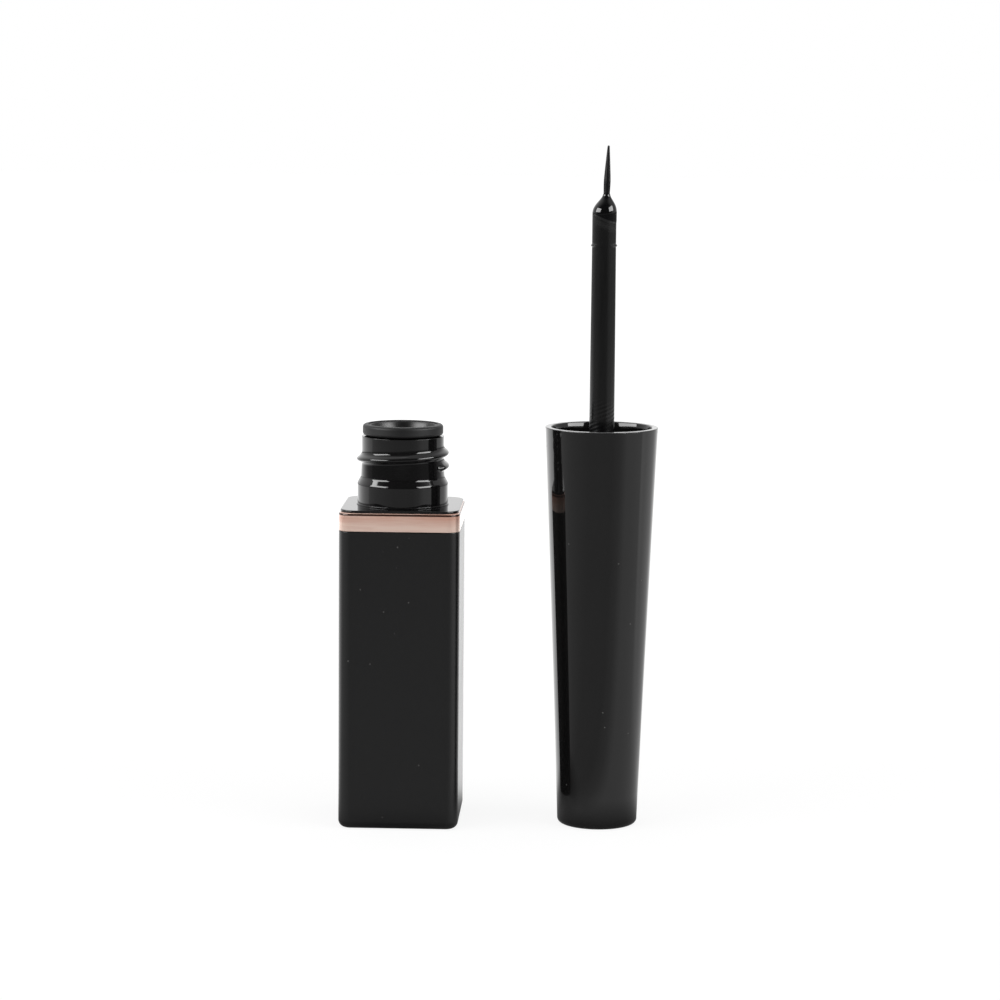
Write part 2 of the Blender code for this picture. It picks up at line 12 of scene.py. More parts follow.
import bpy
import numpy as np
from bpy.props import FloatProperty, FloatVectorProperty, IntProperty, PointerProperty
from bpy.types import Operator, Panel, PropertyGroup
from mathutils import Matrix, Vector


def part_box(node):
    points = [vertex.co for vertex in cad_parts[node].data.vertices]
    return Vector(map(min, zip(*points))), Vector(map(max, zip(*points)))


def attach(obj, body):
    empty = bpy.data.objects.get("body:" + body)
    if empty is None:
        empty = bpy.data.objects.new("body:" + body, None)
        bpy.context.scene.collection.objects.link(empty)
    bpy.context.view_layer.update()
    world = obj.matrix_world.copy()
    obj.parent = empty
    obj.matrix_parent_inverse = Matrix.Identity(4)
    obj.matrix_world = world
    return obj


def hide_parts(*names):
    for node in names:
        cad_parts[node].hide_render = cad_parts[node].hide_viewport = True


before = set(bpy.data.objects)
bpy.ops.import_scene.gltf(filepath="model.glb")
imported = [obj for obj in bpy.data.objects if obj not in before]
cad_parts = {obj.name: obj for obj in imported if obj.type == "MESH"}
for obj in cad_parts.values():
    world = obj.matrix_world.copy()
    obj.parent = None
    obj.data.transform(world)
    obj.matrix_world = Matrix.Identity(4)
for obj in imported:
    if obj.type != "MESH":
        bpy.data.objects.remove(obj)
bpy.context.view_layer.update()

bl_info = {
    "name": "Liquid eyeliner",
    "version": (1, 0, 0),
    "blender": (4, 5, 0),
    "location": "3D View > Sidebar > Eyeliner",
    "description": "Dresses an open liquid eyeliner: bottle, cap, wand and brush",
    "category": "Add Mesh",
}

MM = 0.001

# How finely the surfaces are divided, columns round an axis and rows along a profile
SQUARE_COLUMNS = 720
NECK_COLUMNS = 360
THREAD_ROWS = 110
CAP_COLUMNS = 256
CAP_ROWS = 28
RECESS_ROWS = 24
LINER_ROWS = 12
LINER_SIDE_ROWS = 9
STEM_COLUMNS = 128
STEM_ROWS = 150
UPPER_STEM_ROWS = 60
NOSE_ROWS = 150
STRAND_SIDES = 5
STRAND_ROWS = 16
TUFT_COLUMNS = 96
TUFT_ROWS = 60
SHARP_ANGLE = 50.0

# Radii of the small edges of moulded pieces
HAIR_EDGE = 0.03 * MM
PLATE_LOW_EDGE = 0.04 * MM
LIP_EDGE = 0.08 * MM
FINE_EDGE = 0.1 * MM
SOFT_EDGE = 0.2 * MM
BROAD_EDGE = 0.5 * MM

# Heights of the wand's upper end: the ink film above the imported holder, and the tuft's root in the film
FILM_RISE = 0.5 * MM
ROOT_SINK = 0.3 * MM


def length(name, millimetres, description):
    """A length setting, given in millimetres and kept in metres."""
    return FloatProperty(name=name, description=description, default=millimetres * MM,
                         min=0.0, unit="LENGTH", precision=5)


def number(name, value, description, low=0.0, high=1000.0):
    """A plain number setting."""
    return FloatProperty(name=name, description=description, default=value, min=low, max=high)


def colour(name, value, description):
    """A colour setting, in linear light."""
    return FloatVectorProperty(name=name, description=description, default=value,
                               subtype="COLOR", size=3, min=0.0, max=1.0)


class EyelinerBottle(PropertyGroup):
    """Sizes of the bottle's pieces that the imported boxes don't give."""

    corner: length("Corner", 1.7, "Radius of the sleeve's and the band's upright edges")
    base_edge: length("Base edge", 1.0, "Radius of the edge round the sleeve's base")
    sleeve_wall: length("Sleeve wall", 1.2, "Thickness of the sleeve's wall")
    sleeve_floor: length("Sleeve floor", 1.4, "Thickness of the sleeve's floor")
    sleeve_top_edge: length("Sleeve top edge", 0.08, "Radius of the edge under the band")
    band_height: length("Band height", 2.42, "Height of the rose gold band's face")
    band_edge: length("Band edge", 0.3, "Radius of the band's upper edge")
    band_low_edge: length("Band lower edge", 0.03, "Radius of the band's lower edge")
    band_wall: length("Band wall", 0.6, "Thickness of the band round the shoulder plate")
    band_ledge: length("Band ledge", 1.25, "Height of the pocket's floor above the band's lower edge")
    tongue_gap: length("Tongue gap", 0.06, "Gap between the band's tongue and the sleeve")
    tongue_wall: length("Tongue wall", 0.35, "Thickness of the band's tongue")
    plate_gap: length("Plate gap", 0.06, "Gap round the shoulder plate")
    plate_rise: length("Plate rise", 0.34, "How far the shoulder plate stands above the band's top")
    plate_inset: length("Plate inset", 0.15, "How far the plate's edge stands back from the band's face")
    plate_edge: length("Plate edge", 0.15, "Radius of the shoulder plate's upper edge")
    plate_corner: length("Plate corner", 2.3, "Radius of the shoulder plate's upright edges")
    vial_gap: length("Vial gap", 0.1, "Gap between the vial and the band's tongue")
    vial_wall: length("Vial wall", 1.0, "Thickness of the vial's wall and floor")
    vial_edge: length("Vial edge", 0.8, "Radius of the edge round the vial's floor")
    collar: length("Collar", 12.11, "Diameter of the collar at the neck's foot")
    collar_height: length("Collar height", 2.84, "Height of the collar above the shoulder")
    collar_edge: length("Collar edge", 0.68, "Radius of the collar's upper edge")
    ring_height: length("Foot ring height", 0.15, "Height of the small ring at the collar's foot")
    ring_width: length("Foot ring width", 0.1, "How far the small ring stands out of the collar")
    bevel_height: length("Bevel height", 0.81, "Height of the slope between collar and neck")
    bevel_root: length("Bevel root", 0.68, "Radius of the hollow between the slope and the neck")
    neck: length("Neck", 10.97, "Diameter of the neck above its thread")
    neck_flare: length("Neck flare", 0.13, "How far the neck flares out at the slope's upper end")
    flare_reach: length("Flare reach", 2.5, "Height over which the neck's flare runs out")
    neck_height: length("Neck height", 9.14, "Height of the neck above the shoulder")
    neck_wall: length("Neck wall", 1.1, "Thickness of the neck's wall")
    neck_edge: length("Neck edge", 0.05, "Radius of the neck's upper edge")
    cavity_cone: length("Cavity cone", 1.6, "Height of the cone between the neck's bore and the vial")
    thread_depth: length("Thread depth", 0.64, "How far the thread's crest stands out of the neck")
    thread_pitch: length("Thread pitch", 1.72, "Rise of the thread in one turn")
    thread_height: length("Thread height", 5.16, "Height of the crest above the shoulder at +X")
    thread_upper: length("Thread upper flank", 0.5, "Width of the thread's long upper flank")
    thread_lower: length("Thread lower flank", 0.37, "Width of the thread's steep lower flank")
    thread_start: number("Thread start", -31.0, "Turn in degrees from +X at which the thread starts",
                         low=-360.0, high=360.0)
    thread_end: number("Thread end", 500.0, "Turn in degrees from +X at which the thread ends",
                       low=0.0, high=1080.0)
    thread_fade: number("Thread fade", 13.0, "Turn in degrees over which the thread's ends sink")


class EyelinerWiper(PropertyGroup):
    """Sizes of the soft wiper in the neck."""

    rim_inset: length("Rim inset", 0.125, "How far the rim stands inside the neck's side")
    rim_drop: length("Rim drop", 0.09, "How far the rim's top lies below the packed part's")
    rim_height: length("Rim height", 1.52, "Height of the rim above the neck")
    rim_edge: length("Rim edge", 0.38, "Radius of the rim's upper edge")
    tuck: length("Tuck", 0.66, "Radius of the rim's lower edge")
    lift: length("Lift", 0.14, "How far the rim's underside rises to its side")
    step_width: length("Step width", 0.72, "Width of the rim's raised part")
    step_drop: length("Step drop", 0.12, "How far the inner ring lies below the rim")
    rim_width: length("Rim width", 1.08, "Width from the rim's side to the funnel")
    funnel_height: length("Funnel height", 1.9, "Depth of the funnel from the rim's top")
    wall: length("Wall", 0.6, "Thickness of the plug's wall")
    plug: length("Plug", 7.0, "Length of the plug in the neck")
    lip: length("Lip", 0.5, "Height of the wiping lip's straight bore")
    lip_wall: length("Lip wall", 0.4, "Thickness of the wiping lip")
    orifice: length("Orifice", 3.0, "Diameter of the hole that wipes the stem")
    funnel_rough: number("Funnel roughness", 0.35, "Roughness of the wet funnel", high=1.0)


class EyelinerCap(PropertyGroup):
    """Sizes of the tapered cap and its liner."""

    foot: length("Foot", 10.65, "Diameter of the cap at its closed end")
    foot_edge: length("Foot edge", 0.65, "Radius of the edge round the closed end")
    flare: number("Flare", 1.06, "Power of the height by which the cap widens", low=0.5, high=3.0)
    wall: length("Wall", 0.6, "Thickness of the cap's wall")
    floor: length("Floor", 1.5, "Thickness of the cap's closed end")
    rim_wall: length("Rim wall", 0.9, "Thickness of the cap's wall above the liner")
    rim_edge: length("Rim edge", 0.1, "Radius of the edges of the cap's rim")
    lead_height: length("Lead-in height", 0.62, "Depth of the widening inside the mouth")
    lead_width: length("Lead-in width", 0.11, "How much the mouth widens over its lead-in")
    liner_recess: length("Liner recess", 4.3, "Depth of the liner's end below the rim")
    thread_zone: length("Thread zone", 7.4, "Depth below the rim to which the liner has room for a thread")
    thread_gap: length("Thread gap", 0.71, "Clearance between the neck and the liner's thread zone")
    neck_gap: length("Neck gap", 0.15, "Clearance between the neck and the liner's plain bore")
    ceiling_depth: length("Ceiling depth", 11.06, "Depth of the liner's ceiling below the rim")
    ceiling: length("Ceiling", 1.0, "Thickness of the liner's ceiling")
    skirt: length("Skirt", 6.0, "Length of the liner's skirt below its ceiling")
    skirt_wall: length("Skirt wall", 0.6, "Thickness of the skirt")
    liner_gap: length("Liner gap", 0.06, "Gap between the liner and the cap")
    socket: length("Socket", 8.0, "Length of the stem's socket below the ceiling")
    socket_wall: length("Socket wall", 1.1, "Thickness of the socket")
    socket_floor: length("Socket floor", 1.0, "Thickness of the socket's floor")


class EyelinerWand(PropertyGroup):
    """Sizes of the stem, the brush holder and the tuft."""

    stem: length("Stem", 3.34, "Diameter of the stem at the cap's mouth")
    stem_end: length("Stem end", 3.18, "Diameter of the stem under the brush holder")
    ridge: length("Ridge", 0.007, "Height of the dried ink ridges that wind round the stem's foot")
    ridge_pitch: length("Ridge pitch", 0.55, "Height from one dried ink ridge to the next")
    ridge_reach: length("Ridge reach", 4.2, "Height above the cap's mouth to which the ridges reach")
    joint_gap: length("Joint gap", 0.02, "Gap between the stem and the brush holder")
    ring: length("Ring", 3.48, "Diameter at the sides of the fine ring where stem and holder meet")
    ring_height: length("Ring height", 0.4, "Height of the fine ring")
    side: length("Side", 3.18, "Diameter of the holder above its ring")
    nose_height: length("Nose height", 2.75, "Height over which the nose runs in to the tuft")
    nose_power: number("Nose power", 1.5, "How far up the nose the shoulder sits", low=0.5, high=3.0)
    root: length("Root", 0.9, "Diameter of the ink film at the tuft's root")
    film: length("Ink film", 0.035, "Thickness of the ink film on the nose")
    film_drop: length("Film drop", 1.5, "How much lower the film's edge is on its low side")
    film_edge: length("Film edge", 0.45, "Height over which the film's edge thins out")
    spigot: length("Spigot", 1.6, "Diameter of the holder's spigot in the stem")
    spigot_length: length("Spigot length", 5.0, "Length of the holder's spigot")
    belly: length("Belly", 0.92, "Diameter of the tuft at its widest")
    belly_height: length("Belly height", 2.0, "Height of the tuft's widest place above its root")
    tuft_root: length("Tuft root", 0.84, "Diameter of the tuft at its root")
    tip: length("Tip", 0.27, "Diameter of the tuft just below its rounded point")
    tip_round: length("Tip rounding", 0.1, "Height over which the tuft's point rounds off")
    root_lean: length("Root lean", 0.25, "How far the nose's end and the tuft's root lean to +X")
    tip_lean: length("Tip lean", 0.44, "How far the tuft's point leans to +X")
    strand: length("Strand", 0.045, "Diameter of one filament at the tuft's root")
    strands: IntProperty(name="Strands", description="Number of filaments in the tuft",
                         default=420, min=50, max=900)


class EyelinerFinish(PropertyGroup):
    """Colours and gloss of the finishes."""

    satin: colour("Satin black", (0.0078, 0.0078, 0.008), "Sleeve")
    satin_rough: number("Satin roughness", 0.26, "Roughness of the sleeve", high=1.0)
    gloss: colour("Gloss black", (0.0055, 0.0053, 0.0055), "Neck, shoulder and liner")
    gloss_rough: number("Gloss roughness", 0.05, "Roughness of the glossy black", high=1.0)
    cap: colour("Cap black", (0.0058, 0.0056, 0.0056), "Tapered cap")
    cap_rough: number("Cap roughness", 0.06, "Roughness of the cap", high=1.0)
    gold: colour("Rose gold", (1.0, 0.75, 0.64), "Band")
    # Darker colour of the band's streaks and of its painted shade towards the top and right
    gold_streaks_and_shade: colour("Rose gold shade", (0.8, 0.46, 0.355), "Darker streaks of the band")
    # Painted reflection: colour of the fine dark line under the band's lip, where its edge reflects the dark
    # room
    gold_dark_reflection: colour("Rose gold line", (0.05, 0.021, 0.013), "Fine dark line under the band's lip")
    gold_metal: number("Rose gold metal", 0.26, "How metallic the band is", high=1.0)
    gold_rough: number("Rose gold roughness", 0.14, "Roughness of the band", high=1.0)
    soft: colour("Soft black", (0.0105, 0.0105, 0.011), "Wiper")
    soft_rough: number("Soft roughness", 0.5, "Roughness of the wiper", high=1.0)
    soft_gloss: number("Soft gloss", 0.34, "Specular level of the dry wiper", high=1.0)
    stem: colour("Stem black", (0.005, 0.005, 0.005), "Stem and holder")
    stem_rough: number("Stem roughness", 0.18, "Roughness of the dry stem", high=1.0)
    ink: colour("Ink", (0.003, 0.003, 0.0035), "Wet ink on nose and brush")
    foot_rough: number("Stem foot roughness", 0.28, "Roughness of the dried ink on the stem", high=1.0)
    tuft_rough: number("Tuft roughness", 0.4, "Roughness of the inked tuft", high=1.0)
    tuft_gloss: number("Tuft gloss", 0.22, "Specular level of the inked tuft", high=1.0)
    # Painted highlight: colour of the pale ring painted on top of the cap's rim
    rim_highlight: colour("Rim", (0.13, 0.13, 0.13), "Finely matt ring on top of the cap's rim")
    ink_rough: number("Ink roughness", 0.06, "Roughness of the wet ink", high=1.0)
    dust: colour("Dust", (0.09, 0.088, 0.085), "Dust specks on the black plastic")


class EyelinerStage(PropertyGroup):
    """The camera, the lamps and the floor."""

    camera_place: FloatVectorProperty(
        name="Camera place", description="Where the camera stands", unit="LENGTH", size=3,
        default=(0.028103, -0.420, 0.09845))
    camera_turn: number("Camera turn", 2.057, "Degrees that the camera stands round to +X",
                        low=-180.0, high=180.0)
    camera_pitch: number("Camera pitch", 7.461, "Degrees that the camera looks down", high=90.0)
    camera_roll: number("Camera roll", 0.5, "Degrees that the camera leans to its left", low=-90.0,
                        high=90.0)
    lens: number("Lens", 114.205, "Focal length in millimetres on a 36 mm sensor")
    floor_size: FloatProperty(name="Floor size", description="Width of the floor", default=6.0,
                              unit="LENGTH")
    floor_glow: number("Floor glow", 0.87, "Share of the floor's white that no shadow darkens")
    floor_behind: number("Floor behind", 1.6, "Brightness of the floor behind the object in reflections")
    floor_near: number("Floor near", 0.3, "Brightness of the floor close to the object in reflections")
    front_dim: number("Front dim", 0.88, "How much darker the room's front is in reflections", high=1.0)
    wall_behind: number("Wall behind", 1.3, "Brightness of the wall straight behind in reflections")
    key_gloss: number("Softbox reflections", 9.0, "Brightness of the side softboxes in reflections")
    key_matt: number("Softbox light", 3.0, "Brightness of the side softboxes on matt surfaces")
    top_matt: number("Overhead light", 1.2, "Brightness of the overhead softbox on matt surfaces")
    ambient: number("Ambient", 0.3, "Brightness of the studio's walls on matt surfaces")


def settings():
    """The object's settings in the scene."""
    return bpy.context.scene.eyeliner


def low(node):
    """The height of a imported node's lowest point."""
    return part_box(node)[0].z


def top(node):
    """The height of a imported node's highest point."""
    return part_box(node)[1].z


def axis_of(node):
    """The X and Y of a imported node's upright axis."""
    a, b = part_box(node)
    return np.array([(a.x + b.x) / 2, (a.y + b.y) / 2])


def half_width(node):
    """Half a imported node's width along X."""
    a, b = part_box(node)
    return (b.x - a.x) / 2


def rounded(corners, steps=8):
    """A profile through corners of (reach, height, radius), each corner turned on an arc.

    An arc of radius r in a corner of half angle h starts r / tan(h) from it on both sides, and its centre
    lies r / sin(h) away along the middle line. It takes most of a side that it has to itself, and just
    under half of one that it shares. One more point stands outside each end of the arc, so that the
    flats beside it are shaded flat.
    """
    shared_side, own_side, ease_share = 0.47, 0.94, 0.05
    places = np.array([corner[:2] for corner in corners], float)
    shares = [shared_side if corner[2] > 0.0 else own_side for corner in corners]
    parts = [places[:1]]
    for before, place, after, corner, share_back, share_ahead in zip(
            places, places[1:], places[2:], corners[1:], shares, shares[2:]):
        back, ahead = before - place, after - place
        back_length, ahead_length = np.linalg.norm(back), np.linalg.norm(ahead)
        back, ahead = back / back_length, ahead / ahead_length
        half = math.acos(float(np.clip(back @ ahead, -1.0, 1.0))) / 2
        run = min(corner[2] / math.tan(half), share_back * back_length, share_ahead * ahead_length)
        if run <= 0.0:
            parts.append(place[None, :])
            continue
        middle = (back + ahead) / np.linalg.norm(back + ahead)
        centre = place + middle * run * math.tan(half) / math.sin(half)
        start = place + back * run - centre
        finish = place + ahead * run - centre
        turn = math.atan2(start[0] * finish[1] - start[1] * finish[0], start @ finish)
        angle = turn * np.linspace(0.0, 1.0, steps + 1)[:, None]
        quarter = np.array([-start[1], start[0]])
        arc = centre + start * np.cos(angle) + quarter * np.sin(angle)
        ease = ease_share * run
        parts += [arc[:1] + back * ease, arc, arc[-1:] + ahead * ease]
    parts.append(places[-1:])
    return np.vstack(parts)


def turns(columns):
    """The angles of evenly spaced columns round an axis."""
    return 2 * math.pi * np.arange(columns) / columns


def square_reach(angle, half, corner):
    """How far a rounded square reaches at each angle, one row for each half width and corner radius.

    With u and v the sizes of cos and sin, a flat is reached at half / max(u, v). Where that lies past
    the corner's centre c = half - corner, the arc is reached at c (u + v) + sqrt(corner^2 - c^2 (u - v)^2).
    A corner as large as the half width gives a circle.
    """
    half, corner = half[:, None], np.minimum(corner, half)[:, None]
    u, v = np.abs(np.cos(angle))[None, :], np.abs(np.sin(angle))[None, :]
    flat = half / np.maximum(u, v)
    centre = half - corner
    inside = np.maximum(corner**2 - centre**2 * (u - v) ** 2, 0.0)
    arc = centre * (u + v) + np.sqrt(inside)
    on_arc = flat * np.minimum(u, v) > centre
    return np.where(on_arc, arc, flat)


def round_grid(reach, height, node, columns):
    """Points at each row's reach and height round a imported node's axis: axis + reach (cos, sin), height."""
    axis = axis_of(node)
    angle = turns(columns)
    reach = np.broadcast_to(reach if reach.ndim == 2 else reach[:, None], (len(reach), columns))
    height = np.broadcast_to(height[:, None], reach.shape)
    return np.stack([
        axis[0] + reach * np.cos(angle),
        axis[1] + reach * np.sin(angle),
        height,
    ], axis=-1)


def turned(profile, node, columns):
    """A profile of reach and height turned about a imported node's axis."""
    return round_grid(profile[:, 0], profile[:, 1], node, columns)


def square_grid(profile, corner, least_share, node):
    """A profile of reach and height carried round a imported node's rounded square.

    The corner radius shrinks by the distance in from the face, and keeps at least a share of itself.
    """
    inset = half_width(node) - profile[:, 0]
    corners = np.maximum(corner - inset, corner * least_share)
    reach = square_reach(turns(SQUARE_COLUMNS), profile[:, 0], corners)
    return round_grid(reach, profile[:, 1], node, SQUARE_COLUMNS)


def grid_faces(rows, columns, loop, poles):
    """Quads between neighbouring rows and columns, as point numbers, with the columns closed to rings.

    A loop also joins the last row to the first. With poles, the first and the last row are one point each.
    """
    index = np.arange(rows * columns).reshape(rows, columns)
    if loop:
        index = np.vstack([index, index[:1]])
    if poles:
        index[0] = index[0, 0]
        index[-1] = index[-1, 0]
    after = np.roll(index, -1, axis=1)
    quads = np.stack([index[:-1], after[:-1], after[1:], index[1:]], axis=-1)
    if not poles:
        return quads.reshape(-1, 4), np.empty((0, 3), int)
    first = quads[0][:, [0, 2, 3]]
    last = quads[-1][:, [0, 1, 2]]
    return quads[1:-1].reshape(-1, 4), np.vstack([first, last])


def make_mesh(name, points, quads, triangles):
    """A mesh from whole arrays of points and faces, without the points that no face uses."""
    used, corners = np.unique(np.concatenate([quads.ravel(), triangles.ravel()]), return_inverse=True)
    points = points[used]
    sizes = np.concatenate([np.full(len(quads), 4), np.full(len(triangles), 3)])
    mesh = bpy.data.meshes.new(name)
    mesh.vertices.add(len(points))
    mesh.vertices.foreach_set("co", points.astype(np.float32).ravel())
    mesh.loops.add(len(corners))
    mesh.loops.foreach_set("vertex_index", corners.astype(np.int32))
    mesh.polygons.add(len(sizes))
    mesh.polygons.foreach_set("loop_start", (np.cumsum(sizes) - sizes).astype(np.int32))
    mesh.update(calc_edges=True)
    mesh.validate()
    mesh.shade_smooth()
    return mesh, used


def add_object(name, data):
    """A new object of the scene, for a mesh, a lamp or a camera."""
    obj = bpy.data.objects.new(name, data)
    bpy.context.scene.collection.objects.link(obj)
    return obj


def surface(name, grid, loop=False, values=None):
    """An object from a grid of rings: a closed body, as a tube with poles at its ends or a loop of rings.

    The values are numbers for each grid point, which its material reads by their names.
    """
    rows, columns = grid.shape[:2]
    quads, triangles = grid_faces(rows, columns, loop, poles=not loop)
    mesh, used = make_mesh(name, grid.reshape(-1, 3), quads, triangles)
    mesh.set_sharp_from_angle(angle=math.radians(SHARP_ANGLE))
    for label, value in (values or {}).items():
        attribute = mesh.attributes.new(label, "FLOAT", "POINT")
        attribute.data.foreach_set("value", value.ravel()[used].astype(np.float32))
    return add_object(name, mesh)


def dress(obj, body, node, material):
    """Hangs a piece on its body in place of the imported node, with its finish."""
    obj.data.materials.append(material)
    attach(obj, body)
    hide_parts(node)
    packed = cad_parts[node].data.materials
    packed.clear()
    packed.append(material)


def smooth_step(value):
    """0 below 0, 1 above 1, and 3 t^2 - 2 t^3 between."""
    value = np.clip(value, 0.0, 1.0)
    return value * value * (3 - 2 * value)


def sleeve_grid():
    """The sleeve: a profile of reach and height carried round the rounded square.

    It runs from the middle of the base out, up the side, over the top edge, down the inner wall and
    over the floor to the middle.
    """
    s = settings().bottle
    half = half_width("outer_shell")
    height = top("outer_shell")
    profile = rounded([
        (0.0, 0.0, 0.0),
        (half, 0.0, s.base_edge),
        (half, height, s.sleeve_top_edge),
        (half - s.sleeve_wall, height, 0.0),
        (half - s.sleeve_wall, s.sleeve_floor, 0.0),
        (0.0, s.sleeve_floor, 0.0),
    ], steps=12)
    return square_grid(profile, s.corner, 0.3, "outer_shell")


def band_levels():
    """The heights of the band's lower edge, of its top and of the shoulder plate."""
    s = settings().bottle
    band_top = top("shoulder_band")
    return band_top - s.band_height, band_top, band_top + s.plate_rise


def band_grid():
    """The band: a closed loop of reach and height carried round the rounded square.

    Up the face, over the rounded edge, down the pocket, across the ledge, down through the passage
    and up the tongue's outer side.
    """
    s = settings().bottle
    band_low, band_top, _ = band_levels()
    tongue_low = low("shoulder_band")
    half = half_width("shoulder_band")
    tongue = half - s.sleeve_wall - s.tongue_gap
    passage = tongue - s.tongue_wall
    ledge = band_low + s.band_ledge
    start = (tongue, band_low, 0.0)
    profile = rounded([
        start,
        (half, band_low, s.band_low_edge),
        (half, band_top, s.band_edge),
        (half - s.band_wall, band_top, LIP_EDGE),
        (half - s.band_wall, ledge, 0.0),
        (passage, ledge, 0.0),
        (passage, tongue_low, 0.0),
        (tongue, tongue_low, 0.0),
        start,
    ], steps=12)[:-1]
    return square_grid(profile, s.corner, 0.25, "shoulder_band")


def thread_ridge(angle, height):
    """How far the thread stands out of the neck at each angle and height.

    The crest climbs by the pitch in each turn, anticlockwise from above. Across it the ridge falls off as
    exp(-(distance / width)^power), wide and hollow above, steep below. Its ends sink and narrow over the
    fade.
    """
    s = settings().bottle
    upper_power, lower_power, end_width = 2.35, 3.1, 0.3
    _, _, shoulder = band_levels()
    crest_zero = shoulder + s.thread_height
    ridge = np.zeros(np.broadcast_shapes(angle.shape, height.shape))
    for turn in (-1, 0, 1, 2):
        degrees = np.degrees(angle) + 360.0 * turn
        offset = height - crest_zero - s.thread_pitch * degrees / 360.0
        begun = smooth_step((degrees - s.thread_start) / s.thread_fade)
        grown = begun * smooth_step((s.thread_end - degrees) / (2 * s.thread_fade))
        narrow = end_width + (1 - end_width) * grown
        above = np.exp(-np.abs(offset / (s.thread_upper * narrow)) ** upper_power)
        below = np.exp(-np.abs(offset / (s.thread_lower * narrow)) ** lower_power)
        ridge = np.maximum(ridge, np.where(offset > 0, above, below) * grown)
    return ridge * s.thread_depth


def neck_grid():
    """Vial, shoulder plate with its plug, collar and neck in one moulding.

    Each row is a rounded square whose corner radius may equal its half width, which makes it round, so
    the plate's top runs from the round collar out to the square edge. Above the slope the neck flares
    out by flare (1 - rise / reach) towards its foot, and the thread is added to its rows.
    """
    s = settings().bottle
    least_corner = 0.3 * MM
    band_low, band_top, shoulder = band_levels()
    face = half_width("shoulder_band")
    vial = face - s.sleeve_wall - s.tongue_gap - s.tongue_wall - s.vial_gap
    vial_low = low("inner_bottle")
    cavity = vial - s.vial_wall
    plug = face - s.band_wall - s.plate_gap
    plug_low = band_low + s.band_ledge + s.plate_gap
    plate, plate_low = face - s.plate_inset, band_top + s.plate_gap
    collar, neck = s.collar / 2, s.neck / 2
    ring, ring_top = collar + s.ring_width, shoulder + s.ring_height
    collar_top = shoulder + s.collar_height
    bevel_top = collar_top + s.bevel_height
    neck_top = shoulder + s.neck_height
    bore = neck - s.neck_wall
    below = rounded([
        (0.0, vial_low, 0.0),
        (vial, vial_low, s.vial_edge),
        (vial, plug_low, 0.0),
    ])
    square = rounded([
        (vial, plug_low, 0.0),
        (plug, plug_low, 0.0),
        (plug, plate_low, 0.0),
        (plate, plate_low, PLATE_LOW_EDGE),
        (plate, shoulder, s.plate_edge),
        (ring, shoulder, 0.0),
    ])[1:-1]
    rise = np.linspace(s.bevel_height, neck_top - 2 * s.neck_edge - bevel_top, THREAD_ROWS)
    flare = s.neck_flare * np.maximum(1 - rise / s.flare_reach, 0.0)
    side = np.column_stack([neck + flare, bevel_top + rise])
    above = rounded([
        (ring, shoulder, 0.0),
        (ring, ring_top, LIP_EDGE),
        (collar, ring_top, HAIR_EDGE),
        (collar, collar_top, s.collar_edge),
        (neck + s.neck_flare, bevel_top, s.bevel_root),
        (*side[0], 0.0),
    ], steps=16)
    inside = rounded([
        (*side[-1], 0.0),
        (neck, neck_top, s.neck_edge),
        (bore, neck_top, s.neck_edge),
        (bore, plug_low, 0.0),
        (cavity, plug_low - s.cavity_cone, 0.0),
        (cavity, vial_low + s.vial_wall, s.vial_edge),
        (0.0, vial_low + s.vial_wall, 0.0),
    ])
    profile = np.vstack([below, square, above, side[1:], inside[1:]])
    flange = np.maximum(s.plate_corner - (plate - square[:, 0]), 0.0)
    inner = np.maximum(s.corner - (face - square[:, 0]), least_corner)
    corner = profile[:, 0].copy()
    on_square = slice(len(below), len(below) + len(square))
    corner[on_square] = np.where(square[:, 1] < plate_low, inner, np.maximum(flange, inner))
    angle = turns(NECK_COLUMNS)
    reach = square_reach(angle, profile[:, 0], corner)
    outer = np.arange(len(profile)) < len(profile) - len(inside) + 1
    on_neck = outer & (profile[:, 1] > bevel_top)
    ridge = thread_ridge(angle[None, :], profile[:, 1][:, None])
    reach = reach + np.where(on_neck[:, None], ridge, 0.0)
    return round_grid(reach, profile[:, 1], "inner_bottle", NECK_COLUMNS)


def wiper_mouth():
    """The radius at which the wiper's funnel starts."""
    s, b = settings().wiper, settings().bottle
    return b.neck / 2 - s.rim_inset - s.rim_width


def wiper_grid():
    """The wiper: a closed loop turned about the neck's axis, with a tucked rim, a funnel and a lip."""
    s, b = settings().wiper, settings().bottle
    funnel_root = 0.4 * MM
    rim_top = top("wiper") - s.rim_drop
    rim_low = rim_top - s.rim_height
    rim, mouth = b.neck / 2 - s.rim_inset, wiper_mouth()
    step, step_low = rim - s.step_width, rim_top - s.step_drop
    plug = b.neck / 2 - b.neck_wall - b.plate_gap
    bore = plug - s.wall
    plug_low = rim_low - s.plug
    tip = low("wiper")
    orifice = s.orifice / 2
    start = (step, rim_top, 0.0)
    profile = rounded([
        start,
        (step, step_low, HAIR_EDGE),
        (mouth, step_low, FINE_EDGE),
        (bore, rim_top - s.funnel_height, funnel_root),
        (bore, plug_low, s.wall),
        (orifice, tip + s.lip, FINE_EDGE),
        (orifice, tip, 0.0),
        (orifice + s.lip_wall, tip, FINE_EDGE),
        (plug, plug_low, FINE_EDGE),
        (plug, rim_low, 0.0),
        (rim - s.tuck, rim_low, FINE_EDGE),
        (rim, rim_low + s.lift, s.tuck),
        (rim, rim_top, s.rim_edge),
        start,
    ], steps=10)[:-1]
    return turned(profile, "wiper", NECK_COLUMNS)


def cap_side(height, inset):
    """The cap's taper: the radius grows from foot to mouth as the height to the power of the flare."""
    s = settings().cap
    mouth = half_width("outer_cap")
    rise = (height / top("outer_cap")) ** s.flare
    return np.column_stack([s.foot / 2 + (mouth - s.foot / 2) * rise - inset, height])


def as_corners(points):
    """Profile points as corners without a radius."""
    return [(reach, height, 0.0) for reach, height in points]


